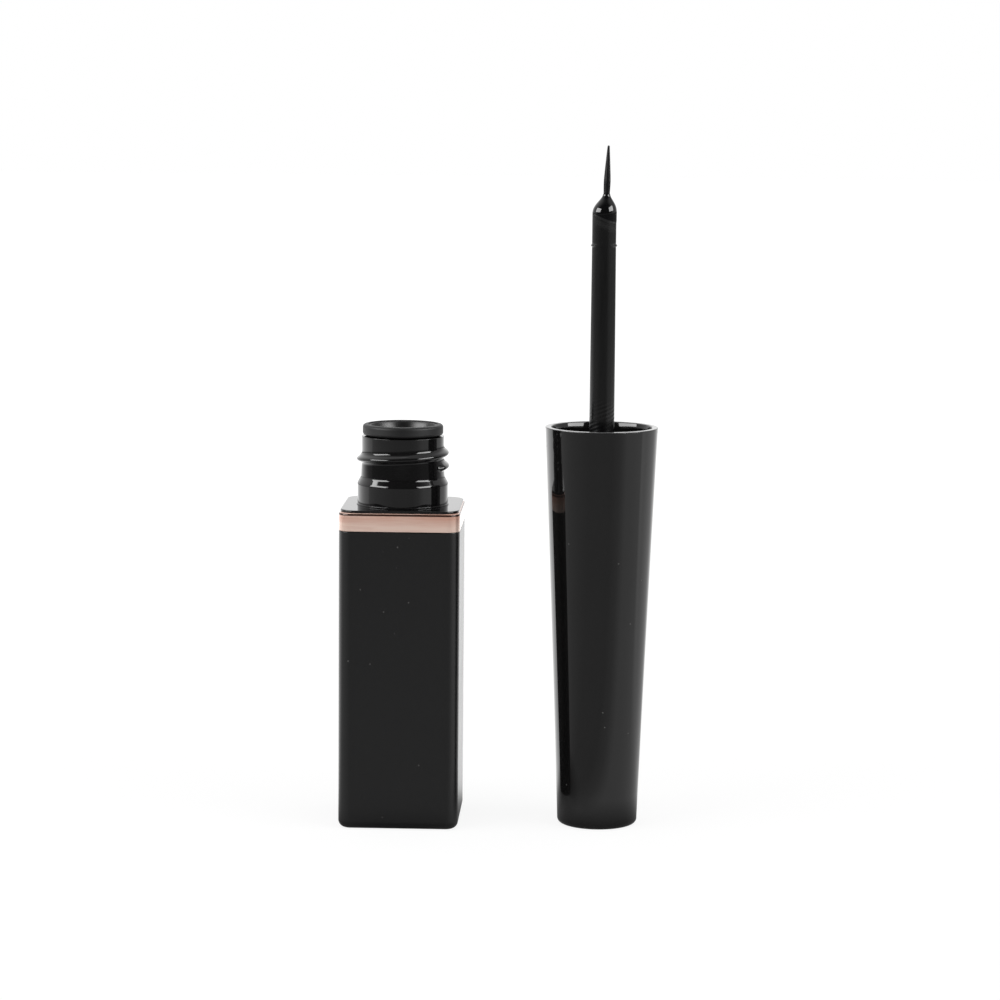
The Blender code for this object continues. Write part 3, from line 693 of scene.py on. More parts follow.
def cap_grid():
    """The cap: out over its closed end, up the taper, over the rim, and down the inner wall to its floor.

    Above the liner the wall is thicker, and at the rim the inner wall widens by a lead-in.
    """
    s = settings().cap
    height = top("outer_cap")
    lip_edge = 2 * s.rim_edge
    outer = cap_side(np.linspace(2.5 * s.foot_edge, height, CAP_ROWS), 0.0)
    depths = np.concatenate([np.linspace(0.0, s.liner_recess, RECESS_ROWS),
                             np.linspace(s.liner_recess, height - s.floor - 2 * s.wall, CAP_ROWS)[1:]])
    inner = cap_side(height - depths, s.wall)
    thick = smooth_step(2 * (s.liner_recess - depths) / s.liner_recess)
    inner[:, 0] -= (s.rim_wall - s.wall) * thick
    inner[:, 0] += s.lead_width * np.clip(1 - depths / s.lead_height, 0.0, 1.0)
    floor_reach = cap_side(np.array([s.floor]), s.wall)[0, 0]
    corners = [(0.0, 0.0, 0.0), (s.foot / 2, 0.0, s.foot_edge)]
    corners += as_corners(outer[:-1]) + [(outer[-1, 0], height, s.rim_edge)]
    corners += [(inner[0, 0], height, lip_edge)] + as_corners(inner[1:][depths[1:] > lip_edge])
    corners += [(floor_reach, s.floor, s.wall), (0.0, s.floor, 0.0)]
    return turned(rounded(corners), "outer_cap", CAP_COLUMNS)


def liner_grid():
    """The liner: skirt, outer side, the cup for the neck, wider where its thread goes, and the socket."""
    s, b, w = settings().cap, settings().bottle, settings().wand
    lead_in = 0.3 * MM
    mouth = top("outer_cap")
    inset = s.wall + s.liner_gap
    liner_top = top("inner_cap")
    ceiling_top = mouth - s.ceiling_depth
    ceiling_low = ceiling_top - s.ceiling
    skirt_low = ceiling_low - s.skirt
    neck = b.neck / 2
    threaded, plain = neck + s.thread_gap, neck + s.neck_gap
    thread_top = liner_top - lead_in
    thread_low = mouth - s.thread_zone
    socket = w.stem / 2 + s.liner_gap
    boss = socket + s.socket_wall
    socket_floor = ceiling_low - s.socket
    boss_low = socket_floor - s.socket_floor
    outer = cap_side(np.linspace(skirt_low, liner_top, LINER_SIDE_ROWS), inset)
    skirt = cap_side(np.array([ceiling_low, skirt_low]), inset + s.skirt_wall)
    before = rounded([
        (0.0, boss_low, 0.0),
        (boss, boss_low, BROAD_EDGE),
        (boss, ceiling_low, SOFT_EDGE),
        (skirt[0, 0], ceiling_low, SOFT_EDGE),
        (skirt[1, 0], skirt_low, FINE_EDGE),
        (outer[0, 0], skirt_low, FINE_EDGE),
        *as_corners(outer[1:-1]),
        (outer[-1, 0], liner_top, LIP_EDGE),
        (threaded, liner_top, LIP_EDGE),
        (threaded, thread_top, 0.0),
    ], steps=5)
    wall = np.column_stack([
        np.full(LINER_ROWS, threaded),
        np.linspace(thread_top, thread_low + b.thread_depth, LINER_ROWS),
    ])
    after = rounded([
        (*wall[-1], 0.0),
        (plain, thread_low, FINE_EDGE),
        (plain, ceiling_top, FINE_EDGE),
        (socket, ceiling_top, FINE_EDGE),
        (socket, socket_floor, FINE_EDGE),
        (0.0, socket_floor, 0.0),
    ], steps=5)
    return turned(np.vstack([before, wall[1:], after[1:]]), "inner_cap", CAP_COLUMNS)


def stem_grid():
    """The stem, barely tapered, with a bore for the holder's spigot and dried ink ridges at its foot.

    The ridges wind up to the right: ridge * sin(2 pi (height / pitch) - starts * angle), in patches that
    follow sin(2 angle + 2 pi (height / reach)), faded to nothing at their reach.
    """
    s, c = settings().wand, settings().cap
    starts, foot_edge, plain_end, fade_share = 7, 0.24 * MM, 0.3 * MM, 0.7
    mouth = top("outer_cap")
    recess = mouth - c.liner_recess
    ridges_top = mouth + s.ridge_reach
    stem, end = s.stem / 2, s.stem_end / 2
    stem_low, stem_top = low("wand_stem"), top("wand_stem")
    bore = s.spigot / 2 + s.joint_gap
    bore_floor = stem_top - s.spigot_length - s.joint_gap
    before = rounded([
        (0.0, stem_low, 0.0),
        (stem, stem_low, foot_edge),
        (stem, recess, 0.0),
    ], steps=5)
    heights = np.concatenate([np.linspace(recess, ridges_top, STEM_ROWS),
                              np.linspace(ridges_top, stem_top - plain_end, UPPER_STEM_ROWS)[1:]])
    share = np.clip((heights - mouth) / (stem_top - mouth), 0.0, 1.0)
    wall = np.column_stack([stem + (end - stem) * share, heights])
    after = rounded([
        (*wall[-1], 0.0),
        (end, stem_top, 0.0),
        (bore, stem_top, 0.0),
        (bore, bore_floor, 0.0),
        (0.0, bore_floor, 0.0),
    ], steps=5)
    profile = np.vstack([before, wall[1:], after[1:]])
    angle = turns(STEM_COLUMNS)[None, :]
    height = profile[:, 1][:, None]
    wave = np.sin(2 * math.pi * (height - mouth) / s.ridge_pitch - starts * angle)
    patch = 0.6 + 0.4 * np.sin(2 * angle + 2 * math.pi * (height - mouth) / s.ridge_reach)
    fade = smooth_step((ridges_top - height) / (fade_share * s.ridge_reach))
    on_side = np.zeros((len(profile), 1))
    on_side[len(before):len(before) + len(wall) - 2] = 1.0
    reach = profile[:, 0][:, None] + s.ridge * wave * patch * fade * on_side
    return round_grid(reach, profile[:, 1], "wand_stem", STEM_COLUMNS)


def film_edge_height(angle):
    """The height of the ink film's slanted edge round the holder, low on the right and behind."""
    low_side, above_nose = -0.5, 0.3 * MM
    drop = settings().wand.film_drop * (0.5 + 0.5 * np.cos(angle - low_side))
    return nose_bottom() + above_nose - drop


def film_top():
    """The height at which the ink film ends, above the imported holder."""
    return top("brush_holder") + FILM_RISE


def nose_bottom():
    """The height at which the nose starts to run in."""
    return film_top() - settings().wand.nose_height


def holder_parts():
    """The holder's surface: spigot, fine ring, side, and the nose under its ink film, up to the tuft.

    The nose's radius runs from the side's to the root's as 1 - smooth_step(share^power), and its end leans
    a little. The film adds its thickness above its slanted edge, where it thins out smoothly, and a pale
    painted reflection lies just below that edge. The ring stands out by cos^6 of the angle, so it shows at
    the sides only.
    """
    s = settings().wand
    end_rise, ring_power, ring_share = 0.02 * MM, 6, 0.4
    sheen_drop, sheen_width = 0.5 * MM, 0.45 * MM
    holder_low = top("wand_stem") + s.joint_gap
    side, ring, root, spigot = s.side / 2, s.ring / 2, s.root / 2, s.spigot / 2
    nose_low = nose_bottom()
    end = film_top() + end_rise
    before = rounded([
        (0.0, low("brush_holder"), 0.0),
        (spigot, low("brush_holder"), FINE_EDGE),
        (spigot, holder_low, 0.0),
        (side, holder_low, 0.0),
    ], steps=6)
    heights = np.linspace(holder_low + HAIR_EDGE, film_top(), NOSE_ROWS)[1:]
    share = np.clip((heights - nose_low) / s.nose_height, 0.0, 1.0)
    wall = np.column_stack([root + (side - root) * (1 - smooth_step(share ** s.nose_power)), heights])
    profile = np.vstack([before, wall, [[root / 2, end], [0.0, end]]])
    row = np.arange(len(profile))[:, None]
    on_side = (row >= len(before)) & (row < len(before) + len(wall))
    at_end = row >= len(before) + len(wall)
    angle = turns(STEM_COLUMNS)[None, :]
    height = profile[:, 1][:, None]
    above_edge = height - film_edge_height(angle)
    wet = smooth_step(above_edge / s.film_edge)
    # Painted reflection: a pale line just below the film's edge, where its bead would reflect the floor
    painted_edge_sheen = np.exp(-((above_edge + sheen_drop) / sheen_width) ** 2)
    film = s.film * np.where(at_end, profile[:, 0][:, None] / root, wet * on_side)
    off = (height - holder_low - s.ring_height / 2) / (ring_share * s.ring_height)
    bump = (ring - side) * np.cos(angle) ** ring_power * np.exp(-off**2)
    reach = profile[:, 0][:, None] + film + bump * on_side
    grid = round_grid(reach, profile[:, 1], "brush_holder", STEM_COLUMNS)
    grid[..., 0] += s.root_lean * smooth_step((height - nose_low) / s.nose_height)
    return grid, {"wet": np.maximum(wet, at_end), "painted_edge_sheen": painted_edge_sheen}


def tuft_root_height():
    """The height of the tuft's root, just inside the ink film."""
    return film_top() - ROOT_SINK


def tuft_length():
    """The tuft's length from its root to its tip."""
    return top("brush_bristles") - tuft_root_height()


def tuft_radius(height):
    """The tuft's radius above its root: out to the belly, then in to the tip, which rounds off."""
    s = settings().wand
    taper_power = 1.12
    full = tuft_length()
    rise = np.clip(height / s.belly_height, 0.0, 1.0)
    run = np.clip((height - s.belly_height) / (full - s.belly_height), 0.0, 1.0)
    lower = s.tuft_root + (s.belly - s.tuft_root) * smooth_step(rise)
    point = np.clip((height - full + s.tip_round) / s.tip_round, 0.0, 1.0)
    return (lower + (s.tip - s.belly) * run ** taper_power) / 2 * np.sqrt(1 - point**2)


def tuft_lean(height):
    """How far the tuft leans to +X at a height above its root: evenly from the root's lean to the tip's."""
    s = settings().wand
    return s.root_lean + (s.tip_lean - s.root_lean) * height / tuft_length()


def tuft_strands():
    """The filaments, as points and faces.

    Filament i stands at the golden angle times i, at the share (i / count)^0.2 of the tuft's radius, and
    keeps that share all the way up, so the tuft draws in to its point. Each is a ring of sides that
    follows its line, thins towards its end and closes in a point. They stop at random heights.
    """
    s = settings().wand
    spread_power, level_power, sunk, shortest = 0.2, 0.9, 1.8, 0.75
    sway, sway_turn, sway_spread = 0.05, 5.0, 6.0
    index = np.arange(s.strands) + 0.5
    outward = (index / s.strands) ** spread_power
    turn = index * math.pi * (3 - math.sqrt(5))
    rng = np.random.default_rng(7)
    ends = (tuft_length() - s.tip_round) * (1 - (1 - shortest) * rng.random(s.strands) ** 2)
    levels = np.linspace(0.0, 1.0, STRAND_ROWS)[:, None] ** level_power
    heights = levels * ends
    thin = s.strand / 2 * (tuft_radius(heights) / tuft_radius(np.zeros(1)))
    reach = tuft_radius(heights) * outward - sunk * thin
    swept = turn + sway * np.sin(sway_turn * levels + sway_spread * rng.random(s.strands))
    centre = np.stack([reach * np.cos(swept) + tuft_lean(heights), reach * np.sin(swept),
                       heights + tuft_root_height()], axis=-1)
    side = turns(STRAND_SIDES)
    flat = np.stack([np.cos(side), np.sin(side), np.zeros(STRAND_SIDES)], axis=-1)
    rings = centre[:, :, None, :] + thin[:, :, None, None] * flat
    rings[-1] = centre[-1][:, None, :]
    foot = np.repeat(centre[0][:, None, None, :], STRAND_SIDES, axis=2)
    grids = np.concatenate([foot, rings.transpose(1, 0, 2, 3)], axis=1)
    rows = grids.shape[1]
    quads, triangles = grid_faces(rows, STRAND_SIDES, loop=False, poles=True)
    step = rows * STRAND_SIDES * np.arange(s.strands)[:, None, None]
    points = grids.reshape(-1, 3)
    points[:, :2] += axis_of("brush_bristles")
    return points, (quads + step).reshape(-1, 4), (triangles + step).reshape(-1, 3)


def tuft_mesh():
    """The tuft: filaments half sunk in a fluted core of ink that runs to the point.

    The core's radius is the tuft's times 1 - depth (1 + cos(13 angle + 2.5 sin(2 angle))) / 2, and its
    rows crowd towards the point.
    """
    flutes, unevenness, flute_depth, crowding = 13, 2.5, 0.06, 1.5
    heights = tuft_length() * (1 - np.linspace(1.0, 0.0, TUFT_ROWS) ** crowding)
    angle = turns(TUFT_COLUMNS)
    fluted = 1 - flute_depth * (0.5 + 0.5 * np.cos(flutes * angle + unevenness * np.sin(2 * angle)))
    reach = np.vstack([np.zeros((1, TUFT_COLUMNS)), tuft_radius(heights)[:, None] * fluted])
    rises = np.concatenate([heights[:1], heights])
    core = round_grid(reach, rises + tuft_root_height(), "brush_bristles", TUFT_COLUMNS)
    core[..., 0] += tuft_lean(rises)[:, None]
    core_quads, core_triangles = grid_faces(len(reach), TUFT_COLUMNS, loop=False, poles=True)
    points, quads, triangles = tuft_strands()
    return make_mesh("inked_tuft", np.vstack([points, core.reshape(-1, 3)]),
                     np.vstack([quads, core_quads + len(points)]),
                     np.vstack([triangles, core_triangles + len(points)]))[0]


class Nodes:
    """A shorthand for a material's or a world's nodes: each call adds one node and wires its inputs."""

    def __init__(self, tree):
        self.tree = tree

    def add(self, kind, inputs=None, **values):
        """A new node of a kind, with its inputs filled and its own values set."""
        node = self.tree.nodes.new(kind)
        for name, value in values.items():
            setattr(node, name, value)
        for socket, value in (inputs or {}).items():
            self.put(node.inputs[socket], value)
        return node

    def put(self, socket, value):
        """Wires a node's output to an input, or sets the input to a plain value."""
        if isinstance(value, bpy.types.NodeSocket):
            self.tree.links.new(value, socket)
        elif socket.type == "RGBA":
            socket.default_value = (*value, 1.0)
        else:
            socket.default_value = value

    def place(self):
        """Each point's Object coordinates."""
        return self.add("ShaderNodeTexCoord").outputs["Object"]

    def parts(self, vector):
        """A vector's X, Y and Z."""
        return self.add("ShaderNodeSeparateXYZ", {0: vector}).outputs

    def streaks(self, vector, up, scale, detail=2.0, roughness=0.5):
        """A noise with Z scaled first, so that its streaks lie level or stand upright."""
        drawn = self.add("ShaderNodeMapping", {"Vector": vector, "Scale": (1.0, 1.0, up)}).outputs[0]
        return self.noise(drawn, scale, detail, roughness)

    def math(self, operation, first, second=0.0, clamp=False):
        """One step of arithmetic."""
        node = self.add("ShaderNodeMath", {0: first, 1: second}, operation=operation, use_clamp=clamp)
        return node.outputs[0]

    def product(self, first, *others):
        """All the values multiplied together."""
        for other in others:
            first = self.math("MULTIPLY", first, other)
        return first

    def distance(self, first, second):
        """The root of the sum of two squares."""
        squares = self.math("ADD", self.product(first, first), self.product(second, second))
        return self.math("SQRT", squares)

    def span(self, value, low, high, to_low=0.0, to_high=1.0, smooth=False):
        """The value's place between low and high, carried over to another range and held inside it."""
        kind = "SMOOTHSTEP" if smooth else "LINEAR"
        node = self.add("ShaderNodeMapRange", {"Value": value, "From Min": low, "From Max": high,
                                               "To Min": to_low, "To Max": to_high},
                        interpolation_type=kind, clamp=True)
        return node.outputs["Result"]

    def mix(self, share, first, second):
        """A colour between two colours."""
        node = self.add("ShaderNodeMix", {"Factor": share}, data_type="RGBA")
        colours = [socket for socket in node.inputs if socket.type == "RGBA"]
        self.put(colours[0], first)
        self.put(colours[1], second)
        return [socket for socket in node.outputs if socket.type == "RGBA"][0]

    def noise(self, vector, scale, detail=3.0, roughness=0.5):
        """A noise's value, mostly between 0.3 and 0.7."""
        node = self.add("ShaderNodeTexNoise", {"Vector": vector, "Scale": scale, "Detail": detail,
                                               "Roughness": roughness})
        return node.outputs["Fac"]

    def cloud(self, vector, scale, low=0.0, high=1.0, detail=3.0):
        """Slow unevenness: the middle of a noise's range, carried over to another range."""
        return self.span(self.noise(vector, scale, detail), 0.3, 0.7, low, high)

    def bump(self, height, strength, distance=0.01 * MM, over=None):
        """The shading of a surface that rises and sinks by the height, over another such shading."""
        node = self.add("ShaderNodeBump", {"Height": height, "Strength": strength, "Distance": distance})
        if over:
            self.put(node.inputs["Normal"], over)
        return node.outputs["Normal"]

    def ramp(self, value, stops):
        """A grey ramp through stops of (place, brightness)."""
        node = self.add("ShaderNodeValToRGB", {"Fac": value})
        elements = node.color_ramp.elements
        elements[0].position, elements[1].position = stops[0][0], stops[-1][0]
        for place, _ in stops[1:-1]:
            elements.new(place)
        for element, (_, shade) in zip(elements, stops):
            element.color = (shade, shade, shade, 1.0)
        return node.outputs["Color"]


def new_material(name):
    """A material, the shorthand for its nodes, its Object coordinates, and the setter of its shader."""
    material = bpy.data.materials.new(name)
    material.use_nodes = True
    nodes = Nodes(material.node_tree)
    inputs = material.node_tree.nodes["Principled BSDF"].inputs

    def set_shader(**values):
        for label, value in values.items():
            nodes.put(inputs[label.replace("_", " ")], value)

    return material, nodes, nodes.place(), set_shader


def lighter(tone, share):
    """A colour made brighter by a share of itself."""
    return tuple(part * share for part in tone)


def specks(nodes, place, share):
    """Sparse specks: the middles of Voronoi cells, in the share of the cells whose random value is high."""
    scale, size = 620.0, 0.085
    cells = nodes.add("ShaderNodeTexVoronoi", {"Vector": place, "Scale": scale})
    near = nodes.span(cells.outputs["Distance"], size, 0.4 * size)
    chosen = nodes.add("ShaderNodeSeparateColor", {"Color": cells.outputs["Color"]}).outputs[0]
    return nodes.product(near, nodes.math("GREATER_THAN", chosen, 1 - share))


def black_plastic(name, base, roughness, uneven=0.1, grain=0.0, wave=0.04, dusty=0.0, rim=None):
    """Moulded black plastic: faintly uneven in tone and gloss, with fine grain, a slow wave and dust.

    With a rim height, the topmost tenth of a millimetre is painted paler, a painted highlight along the rim.
    """
    f = settings().finish
    dust_rough, rim_depth, rim_blur = 0.7, 0.09 * MM, 0.06 * MM
    material, nodes, place, set_shader = new_material(name)
    cloud = nodes.cloud(place, scale=130.0)
    dust = specks(nodes, place, dusty)
    tone = nodes.mix(cloud, base, lighter(base, 1 + 2 * uneven))
    tone = nodes.mix(dust, tone, f.dust)
    if rim:
        # Painted highlight: the rim's top is painted paler
        rim_highlight_share = nodes.span(nodes.parts(place)["Z"], rim - rim_depth, rim - rim_depth + rim_blur)
        tone = nodes.mix(rim_highlight_share, tone, f.rim_highlight)
    gloss = nodes.span(cloud, 0.0, 1.0, roughness * (1 - uneven), roughness * (1 + uneven))
    slow = nodes.bump(nodes.noise(place, scale=260.0, detail=1.0), wave, distance=0.02 * MM)
    fine = nodes.bump(nodes.noise(place, scale=5200.0, detail=2.0), grain, over=slow)
    set_shader(Base_Color=tone, Normal=fine,
               Roughness=nodes.math("MAXIMUM", gloss, nodes.product(dust, dust_rough)))
    return material


def rose_gold():
    """Satin rose gold: level streaks, painted shade towards the upper edge and right, a painted dark
    reflection line.
    """
    f = settings().finish
    band_low, band_top, _ = band_levels()
    shade_start, shade_full = band_low + 0.25 * (band_top - band_low), band_top - 0.7 * MM
    shade_side = 0.6 * half_width("shoulder_band")
    line_low, line_top, low_blur, top_blur = band_top - 0.38 * MM, band_top - 0.07 * MM, 0.07 * MM, 0.04 * MM
    material, nodes, place, set_shader = new_material("rose_gold_satin")
    streaks = nodes.streaks(place, up=14.0, scale=180.0, detail=4.0, roughness=0.6)
    across, _, height = nodes.parts(place)
    # Painted shade: darker towards the upper edge and the right, lighter low down where the face reflects the
    # floor
    painted_top_shade = nodes.product(nodes.span(height, shade_start, shade_full),
                         nodes.span(across, 0.0, shade_side, 0.6, 0.95))
    share = nodes.math("ADD", painted_top_shade, nodes.span(streaks, 0.36, 0.66, -0.15, 0.3), clamp=True)
    # Painted dark reflection: a fine line just under the band's rounded lip
    line = nodes.product(nodes.span(height, line_low, line_low + low_blur),
                         nodes.span(height, line_top, line_top - top_blur))
    rough = nodes.cloud(place, scale=240.0, low=0.85 * f.gold_rough, high=1.2 * f.gold_rough, detail=2.0)
    set_shader(Base_Color=nodes.mix(line, nodes.mix(share, f.gold, f.gold_streaks_and_shade), f.gold_dark_reflection),
               Metallic=f.gold_metal, Roughness=rough, Normal=nodes.bump(streaks, strength=0.12))
    return material


def soft_plastic():
    """The wiper's soft plastic: a fine matt skin, glossier down in the funnel where ink wets it."""
    f, w = settings().finish, settings().wiper
    wet_gloss, wet_reach, dry_reach = 0.5, wiper_mouth() - 0.1 * MM, wiper_mouth() + 0.05 * MM
    material, nodes, place, set_shader = new_material("soft_black_plastic")
    across, along, _ = nodes.parts(place)
    dry = nodes.span(nodes.distance(across, along), wet_reach, dry_reach)
    tone = nodes.mix(nodes.cloud(place, scale=500.0), f.soft, lighter(f.soft, 1.25))
    set_shader(Base_Color=nodes.mix(dry, f.gloss, tone),
               Roughness=nodes.span(dry, 0.0, 1.0, w.funnel_rough, f.soft_rough),
               Specular_IOR_Level=nodes.span(dry, 0.0, 1.0, wet_gloss, f.soft_gloss),
               Normal=nodes.bump(nodes.noise(place, scale=6000.0, detail=2.0), strength=0.08))
    return material


def stem_plastic(name, with_film):
    """Satin stem plastic with ink on it: a film where the piece's values say, or dried ink at the foot.

    Along the film's edge lies a painted pale reflection. The dried ink thins out upwards to a wandering
    level.
    """
    f = settings().finish
    sheen_gain, most_dried = 0.013, 0.8
    material, nodes, place, set_shader = new_material(name)
    bands = nodes.span(nodes.streaks(place, up=0.06, scale=1500.0), 0.35, 0.65)
    dry = nodes.mix(bands, f.stem, lighter(f.stem, 1.5))
    if with_film:
        wet, painted_edge_sheen = (nodes.add("ShaderNodeAttribute", attribute_name=label).outputs["Fac"]
                      for label in ("wet", "painted_edge_sheen"))
        # Painted reflection: the pale line along the film's edge
        dry = nodes.mix(painted_edge_sheen, dry, tuple(part + sheen_gain for part in f.stem))
        wet_rough = f.ink_rough
    else:
        mouth, reach = top("outer_cap"), settings().wand.ridge_reach
        wander = nodes.cloud(place, scale=320.0, low=-0.3 * reach, high=0.3 * reach)
        level = nodes.math("ADD", nodes.parts(place)["Z"], wander)
        wet = nodes.span(level, mouth + 0.5 * reach, mouth - 0.1 * reach, 0.0, most_dried, smooth=True)
        wet_rough = f.foot_rough
    set_shader(Base_Color=nodes.mix(wet, dry, f.ink),
               Roughness=nodes.span(wet, 0.0, 1.0, f.stem_rough, wet_rough),
               Normal=nodes.bump(nodes.noise(place, scale=3500.0, detail=2.0), strength=0.05))
    return material


def inked():
    """Filaments soaked with ink: near black, wet, with fine upright strands of lighter and darker ink."""
    f = settings().finish
    material, nodes, place, set_shader = new_material("ink_soaked_filaments")
    strands = nodes.streaks(place, up=0.05, scale=9000.0)
    set_shader(Base_Color=nodes.mix(nodes.span(strands, 0.35, 0.65), f.ink, lighter(f.ink, 1.6)),
               Roughness=nodes.span(strands, 0.3, 0.7, 0.8 * f.tuft_rough, 1.2 * f.tuft_rough),
               Specular_IOR_Level=f.tuft_gloss)
    return material


def azimuth_shade(nodes, east, north):
    """The studio's brightness round the horizon, by the angle in degrees from the camera's side towards +X.

    Grey in front, where the room is dark, a white card on the right from 44 degrees, and white behind.
    """
    turn = nodes.math("ARCTAN2", east, nodes.product(north, -1.0))
    place = nodes.math("ADD", nodes.math("DIVIDE", turn, 2 * math.pi), 0.5)
    stops = [(-180.0, 1.0), (-130.0, 1.0), (-100.0, 0.7), (-70.0, 0.52), (-20.0, 0.37), (28.0, 0.35),
             (44.0, 0.46), (58.0, 0.74), (88.0, 0.76), (104.0, 0.55), (132.0, 0.5), (158.0, 0.9),
             (180.0, 1.0)]
    return nodes.ramp(place, [(0.5 + degrees / 360.0, shade) for degrees, shade in stops])


def make_world():
    """White to the camera, a plain grey light on matt surfaces, and the studio's walls in reflections.

    The walls are dimmed in front above the floor's line, and are brighter straight behind.
    """
    s = settings().stage
    world = bpy.data.worlds.new("studio")
    bpy.context.scene.world = world
    world.use_nodes = True
    nodes = Nodes(world.node_tree)
    east, north, up = nodes.parts(nodes.add("ShaderNodeTexCoord").outputs["Generated"])
    front_from, front_to, low_from, low_to, behind_from, behind_to = 0.1, -0.5, -0.05, 0.03, 0.6, 0.95
    front = nodes.span(north, front_from, front_to, smooth=True)
    lifted = nodes.span(up, low_from, low_to, smooth=True)
    dimmed = nodes.math("SUBTRACT", 1.0, nodes.product(front, lifted, s.front_dim))
    behind = nodes.span(north, behind_from, behind_to, 1.0, s.wall_behind)
    walls = nodes.product(azimuth_shade(nodes, east, north), dimmed, behind)
    path = nodes.add("ShaderNodeLightPath").outputs
    seen = nodes.math("ADD", nodes.product(path["Is Glossy Ray"], walls),
                      nodes.product(path["Is Diffuse Ray"], s.ambient))
    background = world.node_tree.nodes["Background"].inputs
    nodes.put(background["Color"], (1.0, 1.0, 1.0))
    nodes.put(background["Strength"], nodes.math("ADD", seen, path["Is Camera Ray"]))


def make_floor():
    """A pale floor: white to the camera save for its shadow, matt to light, and the studio in gloss.

    In gloss it is darker close to the bottle and the cap, where they shade it, and far away.
    """
    s = settings().stage
    glow_from, glow_to, fade_from, fade_to, far_level = 0.12, 0.5, 0.42, 0.75, 0.2
    behind_to, near_share = 0.02, 2.5
    reach = s.floor_size / 2
    mesh = bpy.data.meshes.new("floor")
    mesh.from_pydata([(-reach, -reach, 0.0), (reach, -reach, 0.0), (reach, reach, 0.0),
                      (-reach, reach, 0.0)], [], [(0, 1, 2, 3)])
    material = bpy.data.materials.new("pale_floor")
    material.use_nodes = True
    tree = material.node_tree
    tree.nodes.remove(tree.nodes["Principled BSDF"])
    nodes = Nodes(tree)
    east, north, _ = nodes.parts(nodes.place())
    away = nodes.distance(east, north)

    def shader(kind, **inputs):
        return nodes.add("ShaderNode" + kind, inputs).outputs[0]

    def either(choice, no, yes):
        return nodes.add("ShaderNodeMixShader", {0: choice, 1: no, 2: yes}).outputs[0]

    glow = shader("Emission", Strength=nodes.span(away, glow_from, glow_to, s.floor_glow, 1.0, smooth=True))
    shaded = shader("BsdfDiffuse", Color=(0.2, 0.2, 0.2))
    camera = nodes.add("ShaderNodeAddShader", {0: shaded, 1: glow}).outputs[0]
    level = nodes.product(nodes.span(away, fade_from, fade_to, 1.0, far_level),
                          nodes.span(north, 0.0, behind_to, 1.0, s.floor_behind))
    for node in ("outer_shell", "outer_cap"):
        (x, y), half = axis_of(node), half_width(node)
        distance = nodes.distance(nodes.math("SUBTRACT", east, x), nodes.math("SUBTRACT", north, y))
        level = nodes.product(level, nodes.span(distance, half, near_share * half, s.floor_near, 1.0))
    mirror = shader("Emission", Color=azimuth_shade(nodes, east, north), Strength=level)
    path = nodes.add("ShaderNodeLightPath").outputs
    matt = shader("BsdfDiffuse", Color=(0.8, 0.8, 0.8))
    gloss = either(path["Is Glossy Ray"], matt, mirror)
    nodes.put(tree.nodes["Material Output"].inputs["Surface"], either(path["Is Camera Ray"], gloss, camera))
    mesh.materials.append(material)
    add_object("floor", mesh)


def stand(obj, side, over, back, place):
    """Stands a lamp or a camera at a place, with its X, Y and Z along three directions."""
    obj.matrix_world = Matrix([[side[k], over[k], back[k], place[k]] for k in range(3)] + [[0, 0, 0, 1]])


def aim(obj, place, target):
    """Puts a lamp at a place and turns its -Z towards the target."""
    back = place - target
    back /= np.linalg.norm(back)
    side = np.cross((0.0, 0.0, 1.0), back)
    side /= np.linalg.norm(side)
    stand(obj, side, np.cross(back, side), back, place)


def softbox(name, turns_seen, rises_seen, distance, gloss, matt):
    """A softbox that spans a range of turns from the camera's side to +X and of rises, in degrees.

    It is one lamp for reflections and one for matt surfaces. A lamp's power is its radiance times pi
    times its area, so it looks equally bright from any distance.
    """
    turn, rise = (math.radians(sum(pair) / 2) for pair in (turns_seen, rises_seen))
    wide, tall = (2 * distance * math.tan(math.radians(pair[1] - pair[0]) / 2)
                  for pair in (turns_seen, rises_seen))
    flat = distance * math.cos(rise)
    middle = np.array([0.0, 0.0, 45 * MM])
    place = middle + (flat * math.sin(turn), -flat * math.cos(turn), distance * math.sin(rise))
    for kind, radiance in (("gloss", gloss), ("matt", matt)):
        lamp = bpy.data.lights.new(name + "_" + kind, "AREA")
        lamp.shape = "RECTANGLE"
        lamp.size, lamp.size_y = wide, tall
        lamp.energy = radiance * math.pi * wide * tall
        obj = add_object(lamp.name, lamp)
        aim(obj, place, middle)
        obj.visible_camera = False
        obj.visible_glossy = kind == "gloss"
        obj.visible_diffuse = kind == "matt"


def make_camera():
    """The camera at the photograph's place, with no shift: its back leans up by the pitch, then it rolls."""
    s = settings().stage
    data = bpy.data.cameras.new("camera")
    data.lens = s.lens
    data.sensor_width = 36.0
    data.clip_start = 0.01
    data.clip_end = 20.0
    turn, pitch, roll = (math.radians(value) for value in (s.camera_turn, s.camera_pitch, s.camera_roll))
    side = np.array([math.cos(turn), math.sin(turn), 0.0])
    back = np.array([math.sin(turn) * math.cos(pitch), -math.cos(turn) * math.cos(pitch), math.sin(pitch)])
    over = np.cross(back, side)
    camera = add_object("camera", data)
    stand(camera, math.cos(roll) * side + math.sin(roll) * over,
          math.cos(roll) * over - math.sin(roll) * side, back, s.camera_place)
    bpy.context.scene.camera = camera


